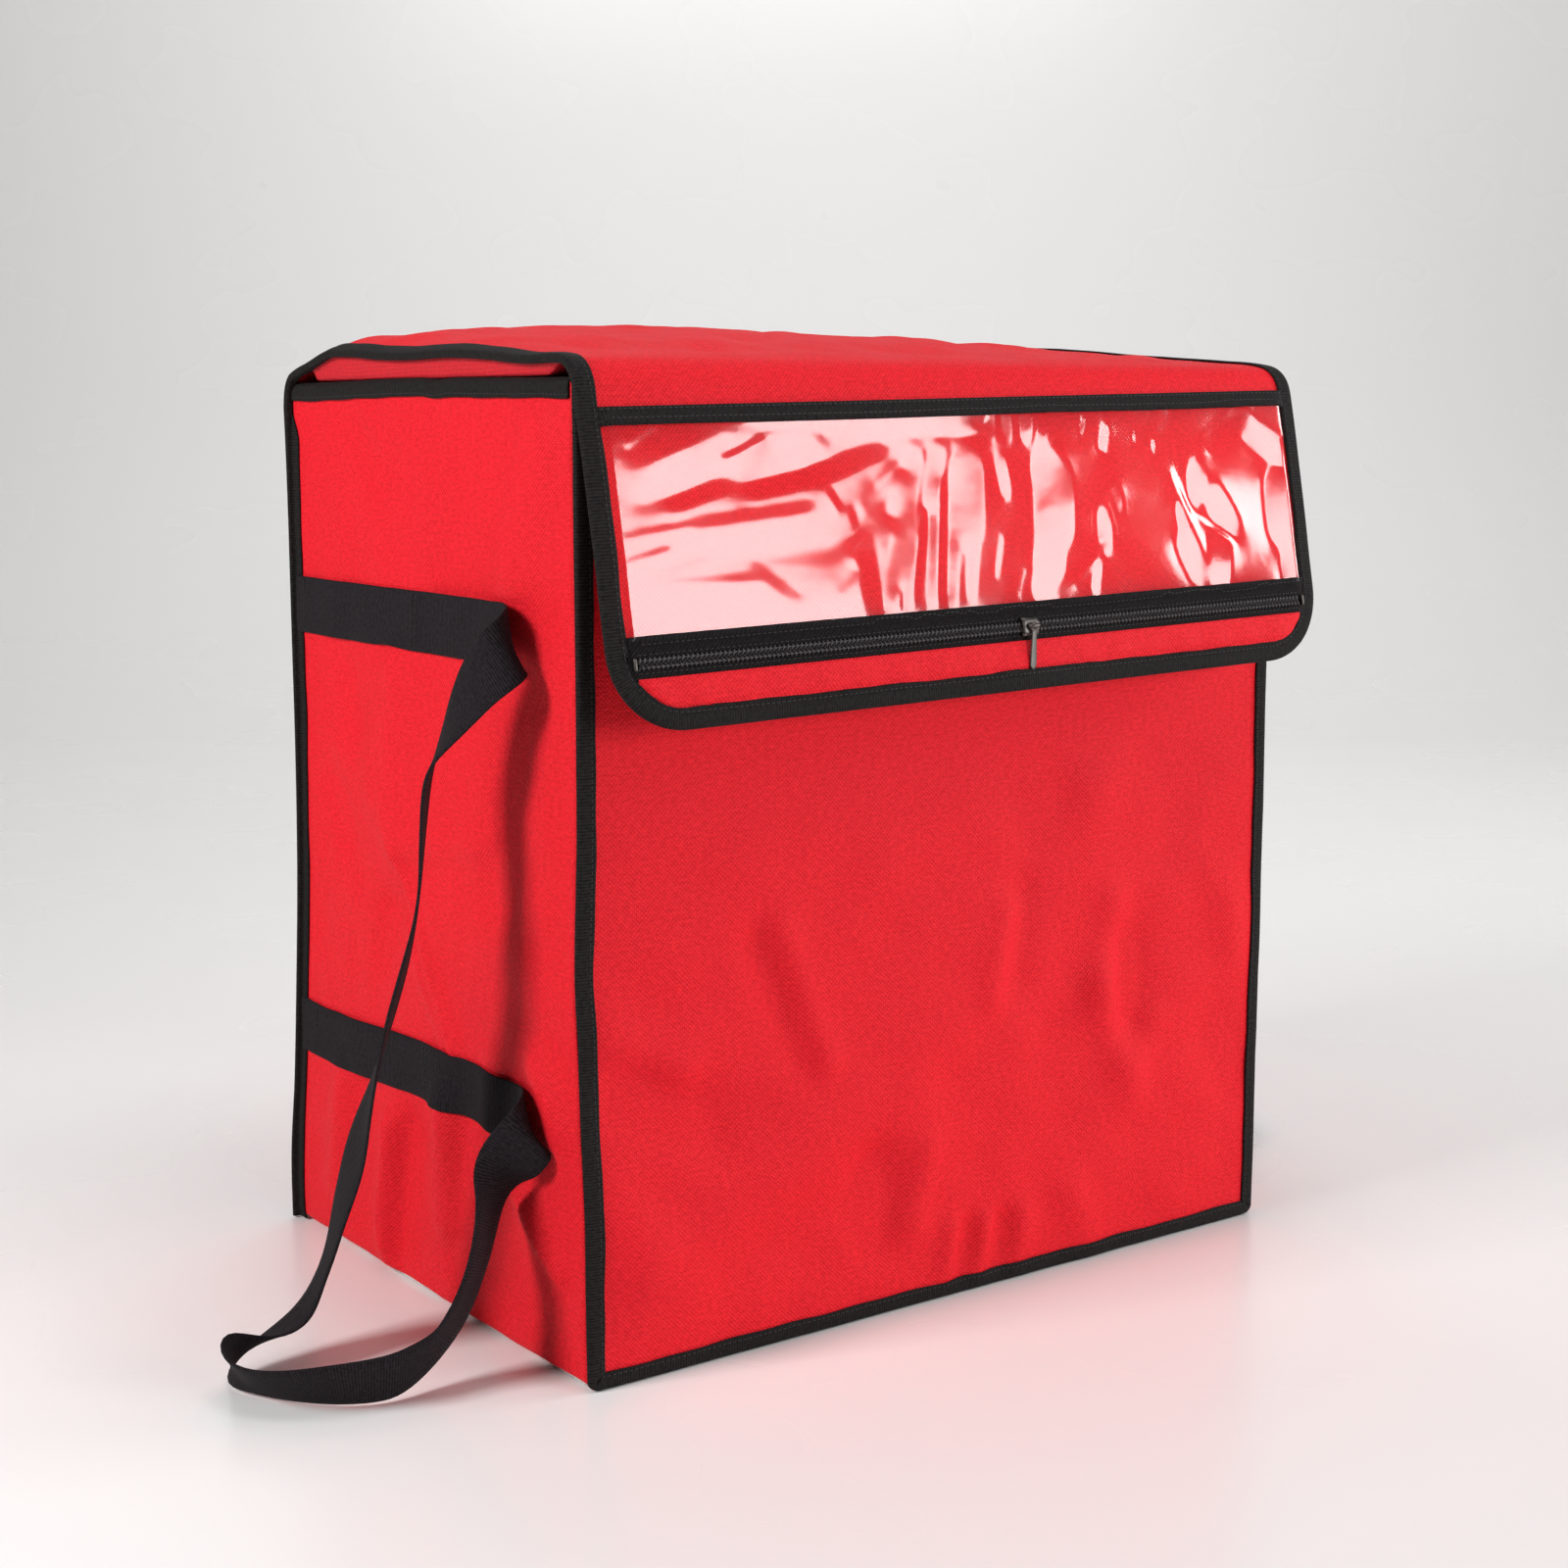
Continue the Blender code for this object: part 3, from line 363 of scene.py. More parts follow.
RISE_SHARES = (
    (0.36, 0.985, 0.110, 0.55, 0.30, 0.70),
    (0.52, 0.980, 0.105, 0.50, 0.45, 0.62),
    (0.69, 0.890, 0.100, 0.45, 0.45, 0.70),
    (0.83, 0.745, 0.110, 0.35, 0.40, 0.82),
    (0.89, 0.600, 0.120, 0.35, 0.45, 0.80),
    (0.87, 0.480, 0.150, 0.50, 0.62, 0.60),
    (0.86, 0.385, 0.210, 0.60, 0.66, 0.45),
    (0.90, 0.320, 0.350, 0.64, 0.68, 0.36),
    (0.90, 0.265, 0.480, 0.66, 0.70, 0.27),
    (0.87, 0.215, 0.610, 0.62, 0.70, 0.35),
    (0.83, 0.165, 0.770, 0.40, 0.75, 0.50),
    (0.92, 0.120, 0.900, -0.55, 0.55, 0.62),
    (1.00, 0.085, 0.985, -0.43, 0.50, 0.74),
    (0.90, 0.035, 1.000, -0.10, 0.12, 1.00),
    (0.60, 0.020, 1.000, 0.00, 0.00, 1.00),
    (0.30, 0.006, 1.000, 0.00, 0.00, 1.00),
    (0.00, 0.000, 1.000, 0.00, 0.00, 1.00),
)

# Lamps: name, place, aim, width, height, watts. The window film mirrors the first: its right edge and
# its top stand where the flat film's mirrored view leaves it, so that small leans light or darken it
LAMPS = (
    ("softbox_front", (1.716, -3.80, 0.81), (0.0, -0.19, 0.43), 2.20, 1.46, 91.0),
    ("softbox_left", (-1.76, -0.03, 1.16), (-0.24, 0.0, 0.28), 0.55, 0.5, 28.0),
    ("softbox_right", (2.15, -0.95, 1.05), (0.05, -0.17, 0.22), 0.9, 0.9, 20.0),
    ("softbox_top", (0.10, -0.70, 2.4), (0.0, 0.0, 0.45), 1.1, 1.1, 14.0),
    ("backdrop_light", (0.9, 1.3, 3.2), (2.3, 3.1, 0.9), 2.4, 1.2, 60.0),
)
WORLD_STRENGTH = 0.10
# The camera: its place, its lens in millimetres, and its turn and drop
CAMERA_PLACE = (-0.834, -1.156, 0.485)
CAMERA_LENS = 55.5
CAMERA_TURN = math.radians(36)
CAMERA_DROP = math.radians(8.7)
# The floor runs this far behind the bag, then curves up with this radius to a backdrop this high
SWEEP_BEHIND = 2.2
SWEEP_RADIUS = 2.0
SWEEP_TOP = 7.0


def linear(code):
    """An sRGB hex colour as linear red, green and blue."""
    channels = [int(code[i : i + 2], 16) / 255 for i in (0, 2, 4)]
    return [c / 12.92 if c <= 0.04045 else ((c + 0.055) / 1.055) ** 2.4 for c in channels]


def length_of(name, description, default):
    """A property for a size in metres."""
    return bpy.props.FloatProperty(
        name=name, description=description, default=default, unit="LENGTH", precision=4
    )


def angle_of(name, description, degrees):
    """A property for an angle."""
    return bpy.props.FloatProperty(
        name=name, description=description, default=math.radians(degrees), unit="ROTATION"
    )


def colour_of(name, description, code):
    """A property for a colour, given as sRGB hex."""
    return bpy.props.FloatVectorProperty(
        name=name, description=description, default=linear(code), subtype="COLOR", min=0.0, max=1.0
    )


def node_span(node, axis):
    """A node's size along an axis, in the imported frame."""
    low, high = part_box(node)
    return high[axis] - low[axis]


class BagSizes(bpy.types.PropertyGroup):
    """Sizes of the bag's cloth and trims."""

    width: length_of("Width", "Over the side panels", node_span("gusset_panel", 0))
    depth: length_of("Depth", "Over the front and back panels, at the floor", 0.335)
    height: length_of("Height", "Of the walls", node_span("gusset_panel", 2))
    back_lean: length_of("Back lean", "How far the back's top comes forward", 0.020)
    long_width: length_of("Long piece", "Cut width of back, lid and flap", node_span("lid_panel", 0))
    flap_drop: length_of("Flap drop", "Cloth from the fold to the flap's edge", 0.1682)
    flap_corner: length_of("Flap corner", "Radius of the flap's lower corners", 0.038)
    flap_tilt: angle_of("Flap tilt", "How far the flap stands off", 10)
    flap_skew: angle_of("Flap skew", "Turn of the flap in its plane", 1.3)
    binding: length_of("Binding", "Width of the folded binding on each face", 0.0088)
    binding_wall: length_of("Binding wall", "Thickness of the binding tape", 0.0008)
    webbing: length_of("Webbing", "Width of the handle webbing", 0.032)
    webbing_wall: length_of("Webbing wall", "Thickness of the webbing", 0.0016)
    zip_line: length_of("Zip line", "From the fold down to the zip's middle", 0.137)
    window_top: length_of("Window top", "From the fold down to the window tape", 0.015)
    coil_pitch: length_of("Coil pitch", "From one turn of the coil to the next, as coarse as shows", 0.0027)
    stitch_pitch: length_of("Stitch pitch", "From one stitch to the next", 0.0032)
    cloth_step: length_of("Cloth step", "Spacing of the cloth's grid", 0.0038)
    film_step: length_of("Film step", "Spacing of the window film's grid", 0.0014)
    weave: length_of("Weave", "Repeat of the weave, as coarse as it has to be to show", 0.0017)


class BagColours(bpy.types.PropertyGroup):
    """Colours of the bag's materials."""

    cloth: colour_of("Cloth", "Coated polyester", "E81D2A")
    lining: colour_of("Lining", "Lining cloth", "CE1C29")
    binding: colour_of("Binding", "Binding tape", "1C1919")
    webbing: colour_of("Webbing", "Handle webbing", "1D191C")
    thread: colour_of("Thread", "Sewing thread", "211F1F")
    foam: colour_of("Foam", "Polyethylene foam", "E6E4DE")
    zip_tape: colour_of("Zip tape", "Woven tape of the zip", "171415")
    # The coil's dark nylon, lightened to grey: a painted highlight of the shine on its turns
    coil: colour_of("Coil", "Nylon coil of the zip", "3A3637")
    hook_loop: colour_of("Hook and loop", "Closure tapes", "1B191A")
    # Nickel grey, darkened far below bare plating: painted shade standing for the dark reflections and shadow on
    # the slider and pull
    nickel: colour_of("Nickel", "Plating of the slider, pull and stops", "605C59")
    floor: colour_of("Floor", "Floor and backdrop", "F1F0EF")


# Small sums


def ease(x, low, high):
    """Smooth step from 0 at low to 1 at high: 3 t^2 - 2 t^3, with t the share of the way."""
    t = np.clip((x - low) / (high - low), 0.0, 1.0)
    return t * t * (3.0 - 2.0 * t)


def curve_through(x, knots, values):
    """A smooth curve through (knots, values): cubic Hermite, its slope at a knot that of its neighbours."""
    knots, values = np.asarray(knots, float), np.asarray(values, float)
    slopes = np.gradient(values, knots)
    x = np.clip(x, knots[0], knots[-1])
    k = np.clip(np.searchsorted(knots, x, side="right") - 1, 0, len(knots) - 2)
    gap = knots[k + 1] - knots[k]
    t = (x - knots[k]) / gap
    return (
        (2 * t**3 - 3 * t**2 + 1) * values[k]
        + (t**3 - 2 * t**2 + t) * gap * slopes[k]
        + (3 * t**2 - 2 * t**3) * values[k + 1]
        + (t**3 - t**2) * gap * slopes[k + 1]
    )


def waver(s, seed):
    """A slow unevenness between -1 and 1 along s: three sines of unlike wavelengths."""
    return (np.sin(s / 0.0310 + seed) + np.sin(s / 0.0137 + 2.1 * seed) + np.sin(s / 0.0063 + 3.3 * seed)) / 3


def crumple(u, v, seed):
    """Slack cloth's low unevenness, in metres: eighteen crossing sine waves of 22 to 80 mm, added up."""
    total = 0.0
    for k in range(18):
        way = 2.399 * k + seed
        wave = 0.022 + 0.058 * ((0.618 * k + 0.13 * seed) % 1.0)
        along = u * math.cos(way) + v * math.sin(way)
        total = total + wave * np.sin(2 * math.pi * along / wave + 5.1 * k + 3.0 * seed)
    return 0.0032 * total


def gap_to_line(u, v, u0, v0, u1, v1):
    """Distance from each (u, v) to the stretch of line from (u0, v0) to (u1, v1)."""
    du, dv = u1 - u0, v1 - v0
    share = np.clip(((u - u0) * du + (v - v0) * dv) / max(du * du + dv * dv, 1e-12), 0.0, 1.0)
    return np.hypot(u - u0 - share * du, v - v0 - share * dv)


def folds(u, v, table):
    """The sum of a table's folds: each is height x exp(-(distance to its line / reach)^2)."""
    total = np.zeros(np.broadcast(u, v).shape)
    for u0, v0, u1, v1, reach, height in table:
        away = gap_to_line(u, v, u0 * MM, v0 * MM, u1 * MM, v1 * MM)
        total = total + height * MM * np.exp(-((away / (reach * FOLD_SPREAD * MM)) ** 2))
    return total


def lines_between(low, high, step):
    """Grid lines from low to high, about a step apart."""
    return np.linspace(low, high, max(int(round(abs(high - low) / step)), 1) + 1)


def running_length(path):
    """Length along a path of points, from its start."""
    steps = np.linalg.norm(np.diff(path, axis=0), axis=1)
    return np.concatenate([[0.0], np.cumsum(steps)])


def stacked(x, y, z):
    """Points from their three coordinates, each a number, a row, a column or a whole grid."""
    return np.stack(np.broadcast_arrays(x, y, z), axis=-1)


def unit(vectors):
    """Vectors brought to length one."""
    return vectors / np.maximum(np.linalg.norm(vectors, axis=-1, keepdims=True), 1e-12)


def respaced(path, step):
    """The same path with its points about a step apart, measured along it."""
    s = running_length(path)
    at = lines_between(0.0, s[-1], step)
    return np.stack([np.interp(at, s, path[:, k]) for k in range(path.shape[1])], axis=1)


# Meshes


def ground_of(*names):
    """The outer faces of cloth pieces already built, to search for the nearest point on them."""
    points, faces = [], []
    for name in names:
        made = bpy.data.objects.get(name)
        if made is None:
            raise RuntimeError(f"{name} has to be built first")
        first = len(points)
        points += [vertex.co.copy() for vertex in made.data.vertices]
        faces += [[first + k for k in face.vertices] for face in made.data.polygons]
    return BVHTree.FromPolygons(points, faces)


def rested(points, ground, lift, reach=0.012):
    """Points kept at least a lift above the cloth under them, if it is within reach.

    A point moves by lift - (point - nearest) . normal along the normal. The search tree answers for
    one point at a time, so this goes through them.
    """
    flat = np.array(points, float).reshape(-1, 3)
    lifts = np.broadcast_to(lift, points.shape[:-1]).ravel()
    for k, point in enumerate(flat):
        near, normal, _, away = ground.find_nearest(Vector(point))
        short = lifts[k] - (Vector(point) - near).dot(normal)
        if short > 0 and away < reach:
            flat[k] = point + short * np.array(normal)
    return flat.reshape(points.shape)


def laid(points, ground, lift):
    """Points moved onto the cloth nearest to them: nearest + lift x normal, one at a time as above."""
    out = np.array(points, float)
    for k, point in enumerate(points):
        near, normal, _, _ = ground.find_nearest(Vector(point))
        out[k] = near + lift * normal
    return out


def piece_from(name, points, faces, corners, slot, material):
    """A mesh object from its points, its faces and a cloth coordinate for each face corner."""
    data = bpy.data.meshes.new(name)
    data.from_pydata(np.asarray(points, float).reshape(-1, 3).tolist(), [], faces)
    layer = data.uv_layers.new(name="cloth")
    layer.data.foreach_set("uv", np.asarray(corners, np.float32).ravel())
    data.shade_smooth()
    data.materials.append(material)
    made = bpy.data.objects.new(name, data)
    bpy.context.scene.collection.objects.link(made)
    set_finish(made, slot)
    return made


def quads_of(rows, columns, closed, turned, first=0):
    """Quads of a grid of points, and of the same grid's cloth coordinates, which never wrap round."""
    index = np.arange(rows * columns).reshape(rows, columns) + first
    if closed:
        index = np.concatenate([index, index[:, :1]], axis=1)
    flat = np.arange(rows * index.shape[1]).reshape(rows, index.shape[1])
    out = []
    for grid in (index, flat):
        quads = np.stack([grid[:-1, :-1], grid[:-1, 1:], grid[1:, 1:], grid[1:, :-1]], axis=-1).reshape(-1, 4)
        out.append(quads[:, ::-1] if turned else quads)
    return out


def sheet_piece(name, points, cloth, slot, turned=False, wall=0.0, inward=True):
    """A piece of cloth through rows of points, with a wall behind its outer face."""
    quads, flat = quads_of(*points.shape[:2], False, turned)
    corners = cloth.reshape(-1, 2)[flat.ravel()]
    made = piece_from(name, points, quads.tolist(), corners, slot, finish(slot))
    if wall:
        solid = made.modifiers.new("wall", "SOLIDIFY")
        solid.thickness = wall
        solid.offset = -1.0 if inward else 1.0
        solid.use_quality_normals = True
    return made


def rod_piece(name, runs, slot, turned=False):
    """A piece of closed sections: each run is rows of points round a section, closed at both ends.

    A run is (points, cloth), with one more column in cloth than in points, where the section closes.
    """
    all_points, faces, corners, first = [], [], [], 0
    for points, cloth in runs:
        rows, columns = points.shape[:2]
        quads, flat = quads_of(rows, columns, True, turned, first)
        around = np.arange(columns)
        ends = [first + around[::-1], first + (rows - 1) * columns + around]
        edges = [around[::-1], (rows - 1) * (columns + 1) + around]
        if turned:
            ends = [end[::-1] for end in ends]
            edges = [edge[::-1] for edge in edges]
        faces += quads.tolist() + [end.tolist() for end in ends]
        corners.append(cloth.reshape(-1, 2)[np.concatenate([flat.ravel(), *edges])])
        all_points.append(points.reshape(-1, 3))
        first += rows * columns
    points, corners = np.concatenate(all_points), np.concatenate(corners)
    return piece_from(name, points, faces, corners, slot, finish(slot))


def swept(path, out, normal, section):
    """A section carried along a path: point = path + a out + b normal, for each (a, b) of it."""
    a, b = section[..., 0], section[..., 1]
    return path[:, None] + a[..., None] * out[:, None] + b[..., None] * normal[:, None]


def swept_cloth(path, section):
    """Cloth coordinates of a swept section: along the section, and along the path."""
    across = running_length(np.atleast_2d(section))
    along = running_length(path)
    return np.stack(np.meshgrid(across, along), axis=-1)


def square_to(ways, along):
    """Directions turned square to a path: what is left after their part along it, at length one."""
    return unit(ways - np.sum(ways * along, axis=1, keepdims=True) * along)


def rings(path, normal, side, radius, sides, flat=1.0):
    """A wire's run: each ring is path + r cos(t) flat normal + r sin(t) side."""
    turn = np.linspace(0.0, 2 * math.pi, sides + 1)
    ring = flat * np.cos(turn)[:, None] * normal[:, None] + np.sin(turn)[:, None] * side[:, None]
    cloth = np.stack(np.meshgrid(turn * radius, running_length(path)), axis=-1)
    return (path[:, None] + radius * ring)[:, :-1], cloth


def round_run(path, normal, radius, sides, flat=1.0):
    """A round wire along a path, its rings square to it."""
    along = unit(np.gradient(path, axis=0))
    normal = square_to(normal, along)
    return rings(path, normal, np.cross(along, normal), radius, sides, flat)


def closed_ring(path, normal, radius, sides):
    """A ring of wire through a closed path: its ends lie on each other and are merged afterwards."""
    along = unit(np.roll(path, -1, axis=0) - np.roll(path, 1, axis=0))
    path, along = (np.concatenate([rows, rows[:1]]) for rows in (path, along))
    normal = np.broadcast_to(normal, path.shape)
    return rings(path, normal, np.cross(along, normal), radius, sides)


def squared_round(turn, power):
    """A rounded rectangle's x and y from -1 to 1: cosine and sine, each raised to a power with its sign."""
    return tuple(np.sign(wave) * np.abs(wave) ** power for wave in (np.cos(turn), np.sin(turn)))


def around_once(count):
    """Angles once round, evenly apart, without the last that would lie on the first."""
    return np.linspace(0.0, 2 * math.pi, count + 1)[:-1]


def loft_run(outlines):
    """Outlines (levels x points x 3) as one closed run."""
    looped = np.concatenate([outlines, outlines[:, :1]], axis=1)
    around = np.linalg.norm(np.diff(looped, axis=1), axis=2).cumsum(axis=1)
    around = np.concatenate([np.zeros((len(outlines), 1)), around], axis=1)
    level = running_length(outlines.mean(axis=1))[:, None] + 0 * around
    return outlines, np.stack([around, level], axis=-1)


# Materials


def add(tree, kind, settings=(), values=(), links=()):
    """A node of a kind, with its settings, the values of its sockets and the links into them."""
    made = tree.nodes.new(kind)
    for name, value in dict(settings).items():
        setattr(made, name, value)
    for socket, value in dict(values).items():
        made.inputs[socket].default_value = value
    for socket, source in dict(links).items():
        tree.links.new(source, made.inputs[socket])
    return made


def new_finish(name):
    """An empty material, its tree and its Principled shader."""
    made = bpy.data.materials.new(name)
    made.use_nodes = True
    return made, made.node_tree, made.node_tree.nodes["Principled BSDF"]


def wave_scale(period):
    """Scale of a Wave texture whose bands repeat at a real period: its sine turns at 20 x scale."""
    return 2 * math.pi / (20 * period)


def rgba(colour, share=1.0, painted_glint=0.0):
    """A linear colour with full alpha, times a share to make it lighter or darker, plus grey added as a painted
    highlight.
    """
    return (*(min(c * share + painted_glint, 1.0) for c in colour), 1.0)


def woven(name, colour, pitch, depth, rough, shine, shades=(0.86, 1.06), skew=0.0, patchy=0.05, painted_glint=0.0):
    """A woven cloth: warp x weft waves at a pitch, thick threads of noise, and clouds of shade over them.

    The eye gets a fine grain that runs with the cloth, and a soft sheen over its folds. The thick
    threads are drawn 1.6 mm wide, coarser than real, because finer ones don't show.
    """
    made, tree, shader = new_finish(name)
    cloth = add(tree, "ShaderNodeUVMap", {"uv_map": "cloth"}).outputs[0]
    turned = add(
        tree, "ShaderNodeMapping", values={"Rotation": (0, 0, skew)}, links={"Vector": cloth}
    ).outputs[0]
    warp = add(
        tree,
        "ShaderNodeTexWave",
        {"bands_direction": "X"},
        {"Scale": wave_scale(pitch), "Distortion": 0.6, "Detail": 1.0, "Detail Scale": 0.5},
        {"Vector": turned},
    ).outputs["Fac"]
    weft = add(
        tree,
        "ShaderNodeTexWave",
        {"bands_direction": "Y"},
        {"Scale": wave_scale(pitch), "Distortion": 0.6, "Detail": 1.0, "Detail Scale": 0.5},
        {"Vector": turned},
    ).outputs["Fac"]
    crossed = add(tree, "ShaderNodeMath", {"operation": "MULTIPLY"}, links={0: warp, 1: weft}).outputs[0]
    drawn = add(
        tree, "ShaderNodeMapping", values={"Scale": (0.45, 1.0, 1.0)}, links={"Vector": cloth}
    ).outputs[0]
    slubs = add(
        tree, "ShaderNodeTexNoise", values={"Scale": 620.0, "Detail": 2.0}, links={"Vector": drawn}
    ).outputs["Fac"]
    summed = add(
        tree, "ShaderNodeMath", {"operation": "MULTIPLY_ADD"}, {1: 2.2}, {0: slubs, 2: crossed}
    ).outputs[0]
    height = add(tree, "ShaderNodeMapRange", values={1: 0.8, 2: 2.1}, links={0: summed}).outputs[0]
    clouds = add(
        tree, "ShaderNodeTexNoise", values={"Scale": 14.0, "Detail": 3.0}, links={"Vector": cloth}
    ).outputs["Fac"]
    # The light threads take the painted glint: grey added to their colour, a painted highlight of the weave's
    # speckled shine
    dark, light = rgba(colour, shades[0]), rgba(colour, shades[1], painted_glint)
    thread = add(
        tree, "ShaderNodeMix", {"data_type": "RGBA"}, {6: dark, 7: light}, {0: height}
    ).outputs[2]
    tone = add(
        tree, "ShaderNodeMapRange", values={3: 1.0 - patchy, 4: 1.0 + patchy}, links={0: clouds}
    ).outputs[0]
    shade = add(tree, "ShaderNodeHueSaturation", links={"Color": thread, "Value": tone}).outputs[0]
    bump = add(
        tree, "ShaderNodeBump", values={"Strength": depth, "Distance": pitch * 0.25}, links={"Height": height}
    ).outputs[0]
    tree.links.new(shade, shader.inputs["Base Color"])
    tree.links.new(bump, shader.inputs["Normal"])
    shader.inputs["Roughness"].default_value = rough
    shader.inputs["Specular IOR Level"].default_value = shine
    return made


def ribbed(name, colour, pitch, depth, rough, direction):
    """A narrow woven tape with ribs across it: bands at a pitch, broken by the noise of its threads.

    The eye gets faint lines across the tape and a dry, greyish edge where light grazes it. The threads
    are drawn 2 mm long, coarser than real, because finer ones don't show.
    """
    made, tree, shader = new_finish(name)
    cloth = add(tree, "ShaderNodeUVMap", {"uv_map": "cloth"}).outputs[0]
    ribs = add(
        tree,
        "ShaderNodeTexWave",
        {"bands_direction": direction},
        {"Scale": wave_scale(pitch), "Distortion": 1.0, "Detail": 2.0, "Detail Scale": 1.0},
        {"Vector": cloth},
    ).outputs["Fac"]
    threads = add(
        tree, "ShaderNodeTexNoise", values={"Scale": 480.0, "Detail": 3.0}, links={"Vector": cloth}
    ).outputs["Fac"]
    summed = add(
        tree, "ShaderNodeMath", {"operation": "MULTIPLY_ADD"}, {1: 2.6}, {0: threads, 2: ribs}
    ).outputs[0]
    height = add(tree, "ShaderNodeMapRange", values={1: 1.1, 2: 2.4}, links={0: summed}).outputs[0]
    dark, light = rgba(colour, 0.4), rgba(colour, 1.8)
    shade = add(
        tree, "ShaderNodeMix", {"data_type": "RGBA"}, {6: dark, 7: light}, {0: height}
    ).outputs[2]
    bump = add(
        tree, "ShaderNodeBump", values={"Strength": depth, "Distance": pitch * 0.2}, links={"Height": height}
    ).outputs[0]
    tree.links.new(shade, shader.inputs["Base Color"])
    tree.links.new(bump, shader.inputs["Normal"])
    shader.inputs["Roughness"].default_value = rough
    shader.inputs["Specular IOR Level"].default_value = 0.09
    shader.inputs["Sheen Weight"].default_value = 0.02
    shader.inputs["Sheen Roughness"].default_value = 0.5
    return made


def fleecy(name, colour, grain, depth):
    """A matte surface of fine cells or hooks: a Voronoi grain with its own bump.

    The eye gets a dry, pitted face with no highlight.
    """
    made, tree, shader = new_finish(name)
    place = add(tree, "ShaderNodeTexCoord").outputs["Object"]
    cells = add(
        tree, "ShaderNodeTexVoronoi", values={"Scale": 1.0 / grain}, links={"Vector": place}
    ).outputs["Distance"]
    light, dark = rgba(colour, 1.15), rgba(colour, 0.75)
    shade = add(
        tree, "ShaderNodeMix", {"data_type": "RGBA"}, {6: light, 7: dark}, {0: cells}
    ).outputs[2]
    bump = add(
        tree,
        "ShaderNodeBump",
        {"invert": True},
        {"Strength": depth, "Distance": grain * 0.5},
        {"Height": cells},
    ).outputs[0]
    tree.links.new(shade, shader.inputs["Base Color"])
    tree.links.new(bump, shader.inputs["Normal"])
    shader.inputs["Roughness"].default_value = 0.9
    shader.inputs["Specular IOR Level"].default_value = 0.2
    return made


def clear_film(name):
    """Soft clear PVC, calendered: what shows through it, plus a mirror's shine over that.

    The shine's share is Fresnel x 1.5, because both of its faces throw light back. The eye gets the
    red cloth behind it, a little cool, under crisp white shapes of the lamp.
    """
    made, tree, shader = new_finish(name)
    shader.inputs["Metallic"].default_value = 1.0
    shader.inputs["Roughness"].default_value = 0.12
    place = add(tree, "ShaderNodeTexCoord").outputs["Object"]
    ripple = add(
        tree, "ShaderNodeTexNoise", values={"Scale": 90.0, "Detail": 1.0}, links={"Vector": place}
    ).outputs["Fac"]
    bump = add(
        tree, "ShaderNodeBump", values={"Strength": 0.06, "Distance": 0.001}, links={"Height": ripple}
    ).outputs[0]
    tree.links.new(bump, shader.inputs["Normal"])
    clear = add(tree, "ShaderNodeBsdfTransparent", values={"Color": (0.83, 0.81, 0.81, 1.0)}).outputs[0]
    fresnel = add(tree, "ShaderNodeFresnel", values={"IOR": 1.53}, links={"Normal": bump}).outputs[0]
    both = add(
        tree, "ShaderNodeMath", {"operation": "MULTIPLY", "use_clamp": True}, {1: 1.5}, {0: fresnel}
    ).outputs[0]
    tree.links.new(both, shader.inputs["Base Color"])
    summed = add(tree, "ShaderNodeAddShader", links={0: clear, 1: shader.outputs[0]}).outputs[0]
    tree.links.new(summed, tree.nodes["Material Output"].inputs["Surface"])
    return made


def plated(name, colour):
    """Nickel plating on a zinc casting: a metal with fine tumbling marks in its gloss.

    The eye gets a small grey piece with a soft, slightly broken highlight.
    """
    made, tree, shader = new_finish(name)
    place = add(tree, "ShaderNodeTexCoord").outputs["Object"]
    marks = add(
        tree, "ShaderNodeTexNoise", values={"Scale": 1800.0, "Detail": 3.0}, links={"Vector": place}
    ).outputs["Fac"]
    gloss = add(tree, "ShaderNodeMapRange", values={3: 0.34, 4: 0.54}, links={0: marks}).outputs[0]
    bump = add(
        tree, "ShaderNodeBump", values={"Strength": 0.1, "Distance": 0.0002}, links={"Height": marks}
    ).outputs[0]
    # This colour is darker than bare nickel: it carries painted shade
    shader.inputs["Base Color"].default_value = rgba(colour)
    shader.inputs["Metallic"].default_value = 1.0
    tree.links.new(gloss, shader.inputs["Roughness"])
    tree.links.new(bump, shader.inputs["Normal"])
    return made


def moulded(name, colour, rough):
    """Drawn nylon: a smooth dark plastic, its shade and gloss a little uneven along it.

    The eye gets a dark wire or thread with a soft highlight.
    """
    made, tree, shader = new_finish(name)
    place = add(tree, "ShaderNodeTexCoord").outputs["Object"]
    uneven = add(
        tree, "ShaderNodeTexNoise", values={"Scale": 700.0, "Detail": 2.0}, links={"Vector": place}
    ).outputs["Fac"]
    dark, light = rgba(colour, 0.7), rgba(colour, 1.4)
    shade = add(
        tree, "ShaderNodeMix", {"data_type": "RGBA"}, {6: dark, 7: light}, {0: uneven}
    ).outputs[2]
    gloss = add(
        tree, "ShaderNodeMapRange", values={3: rough - 0.1, 4: rough + 0.1}, links={0: uneven}
    ).outputs[0]
    tree.links.new(shade, shader.inputs["Base Color"])
    tree.links.new(gloss, shader.inputs["Roughness"])
    return made


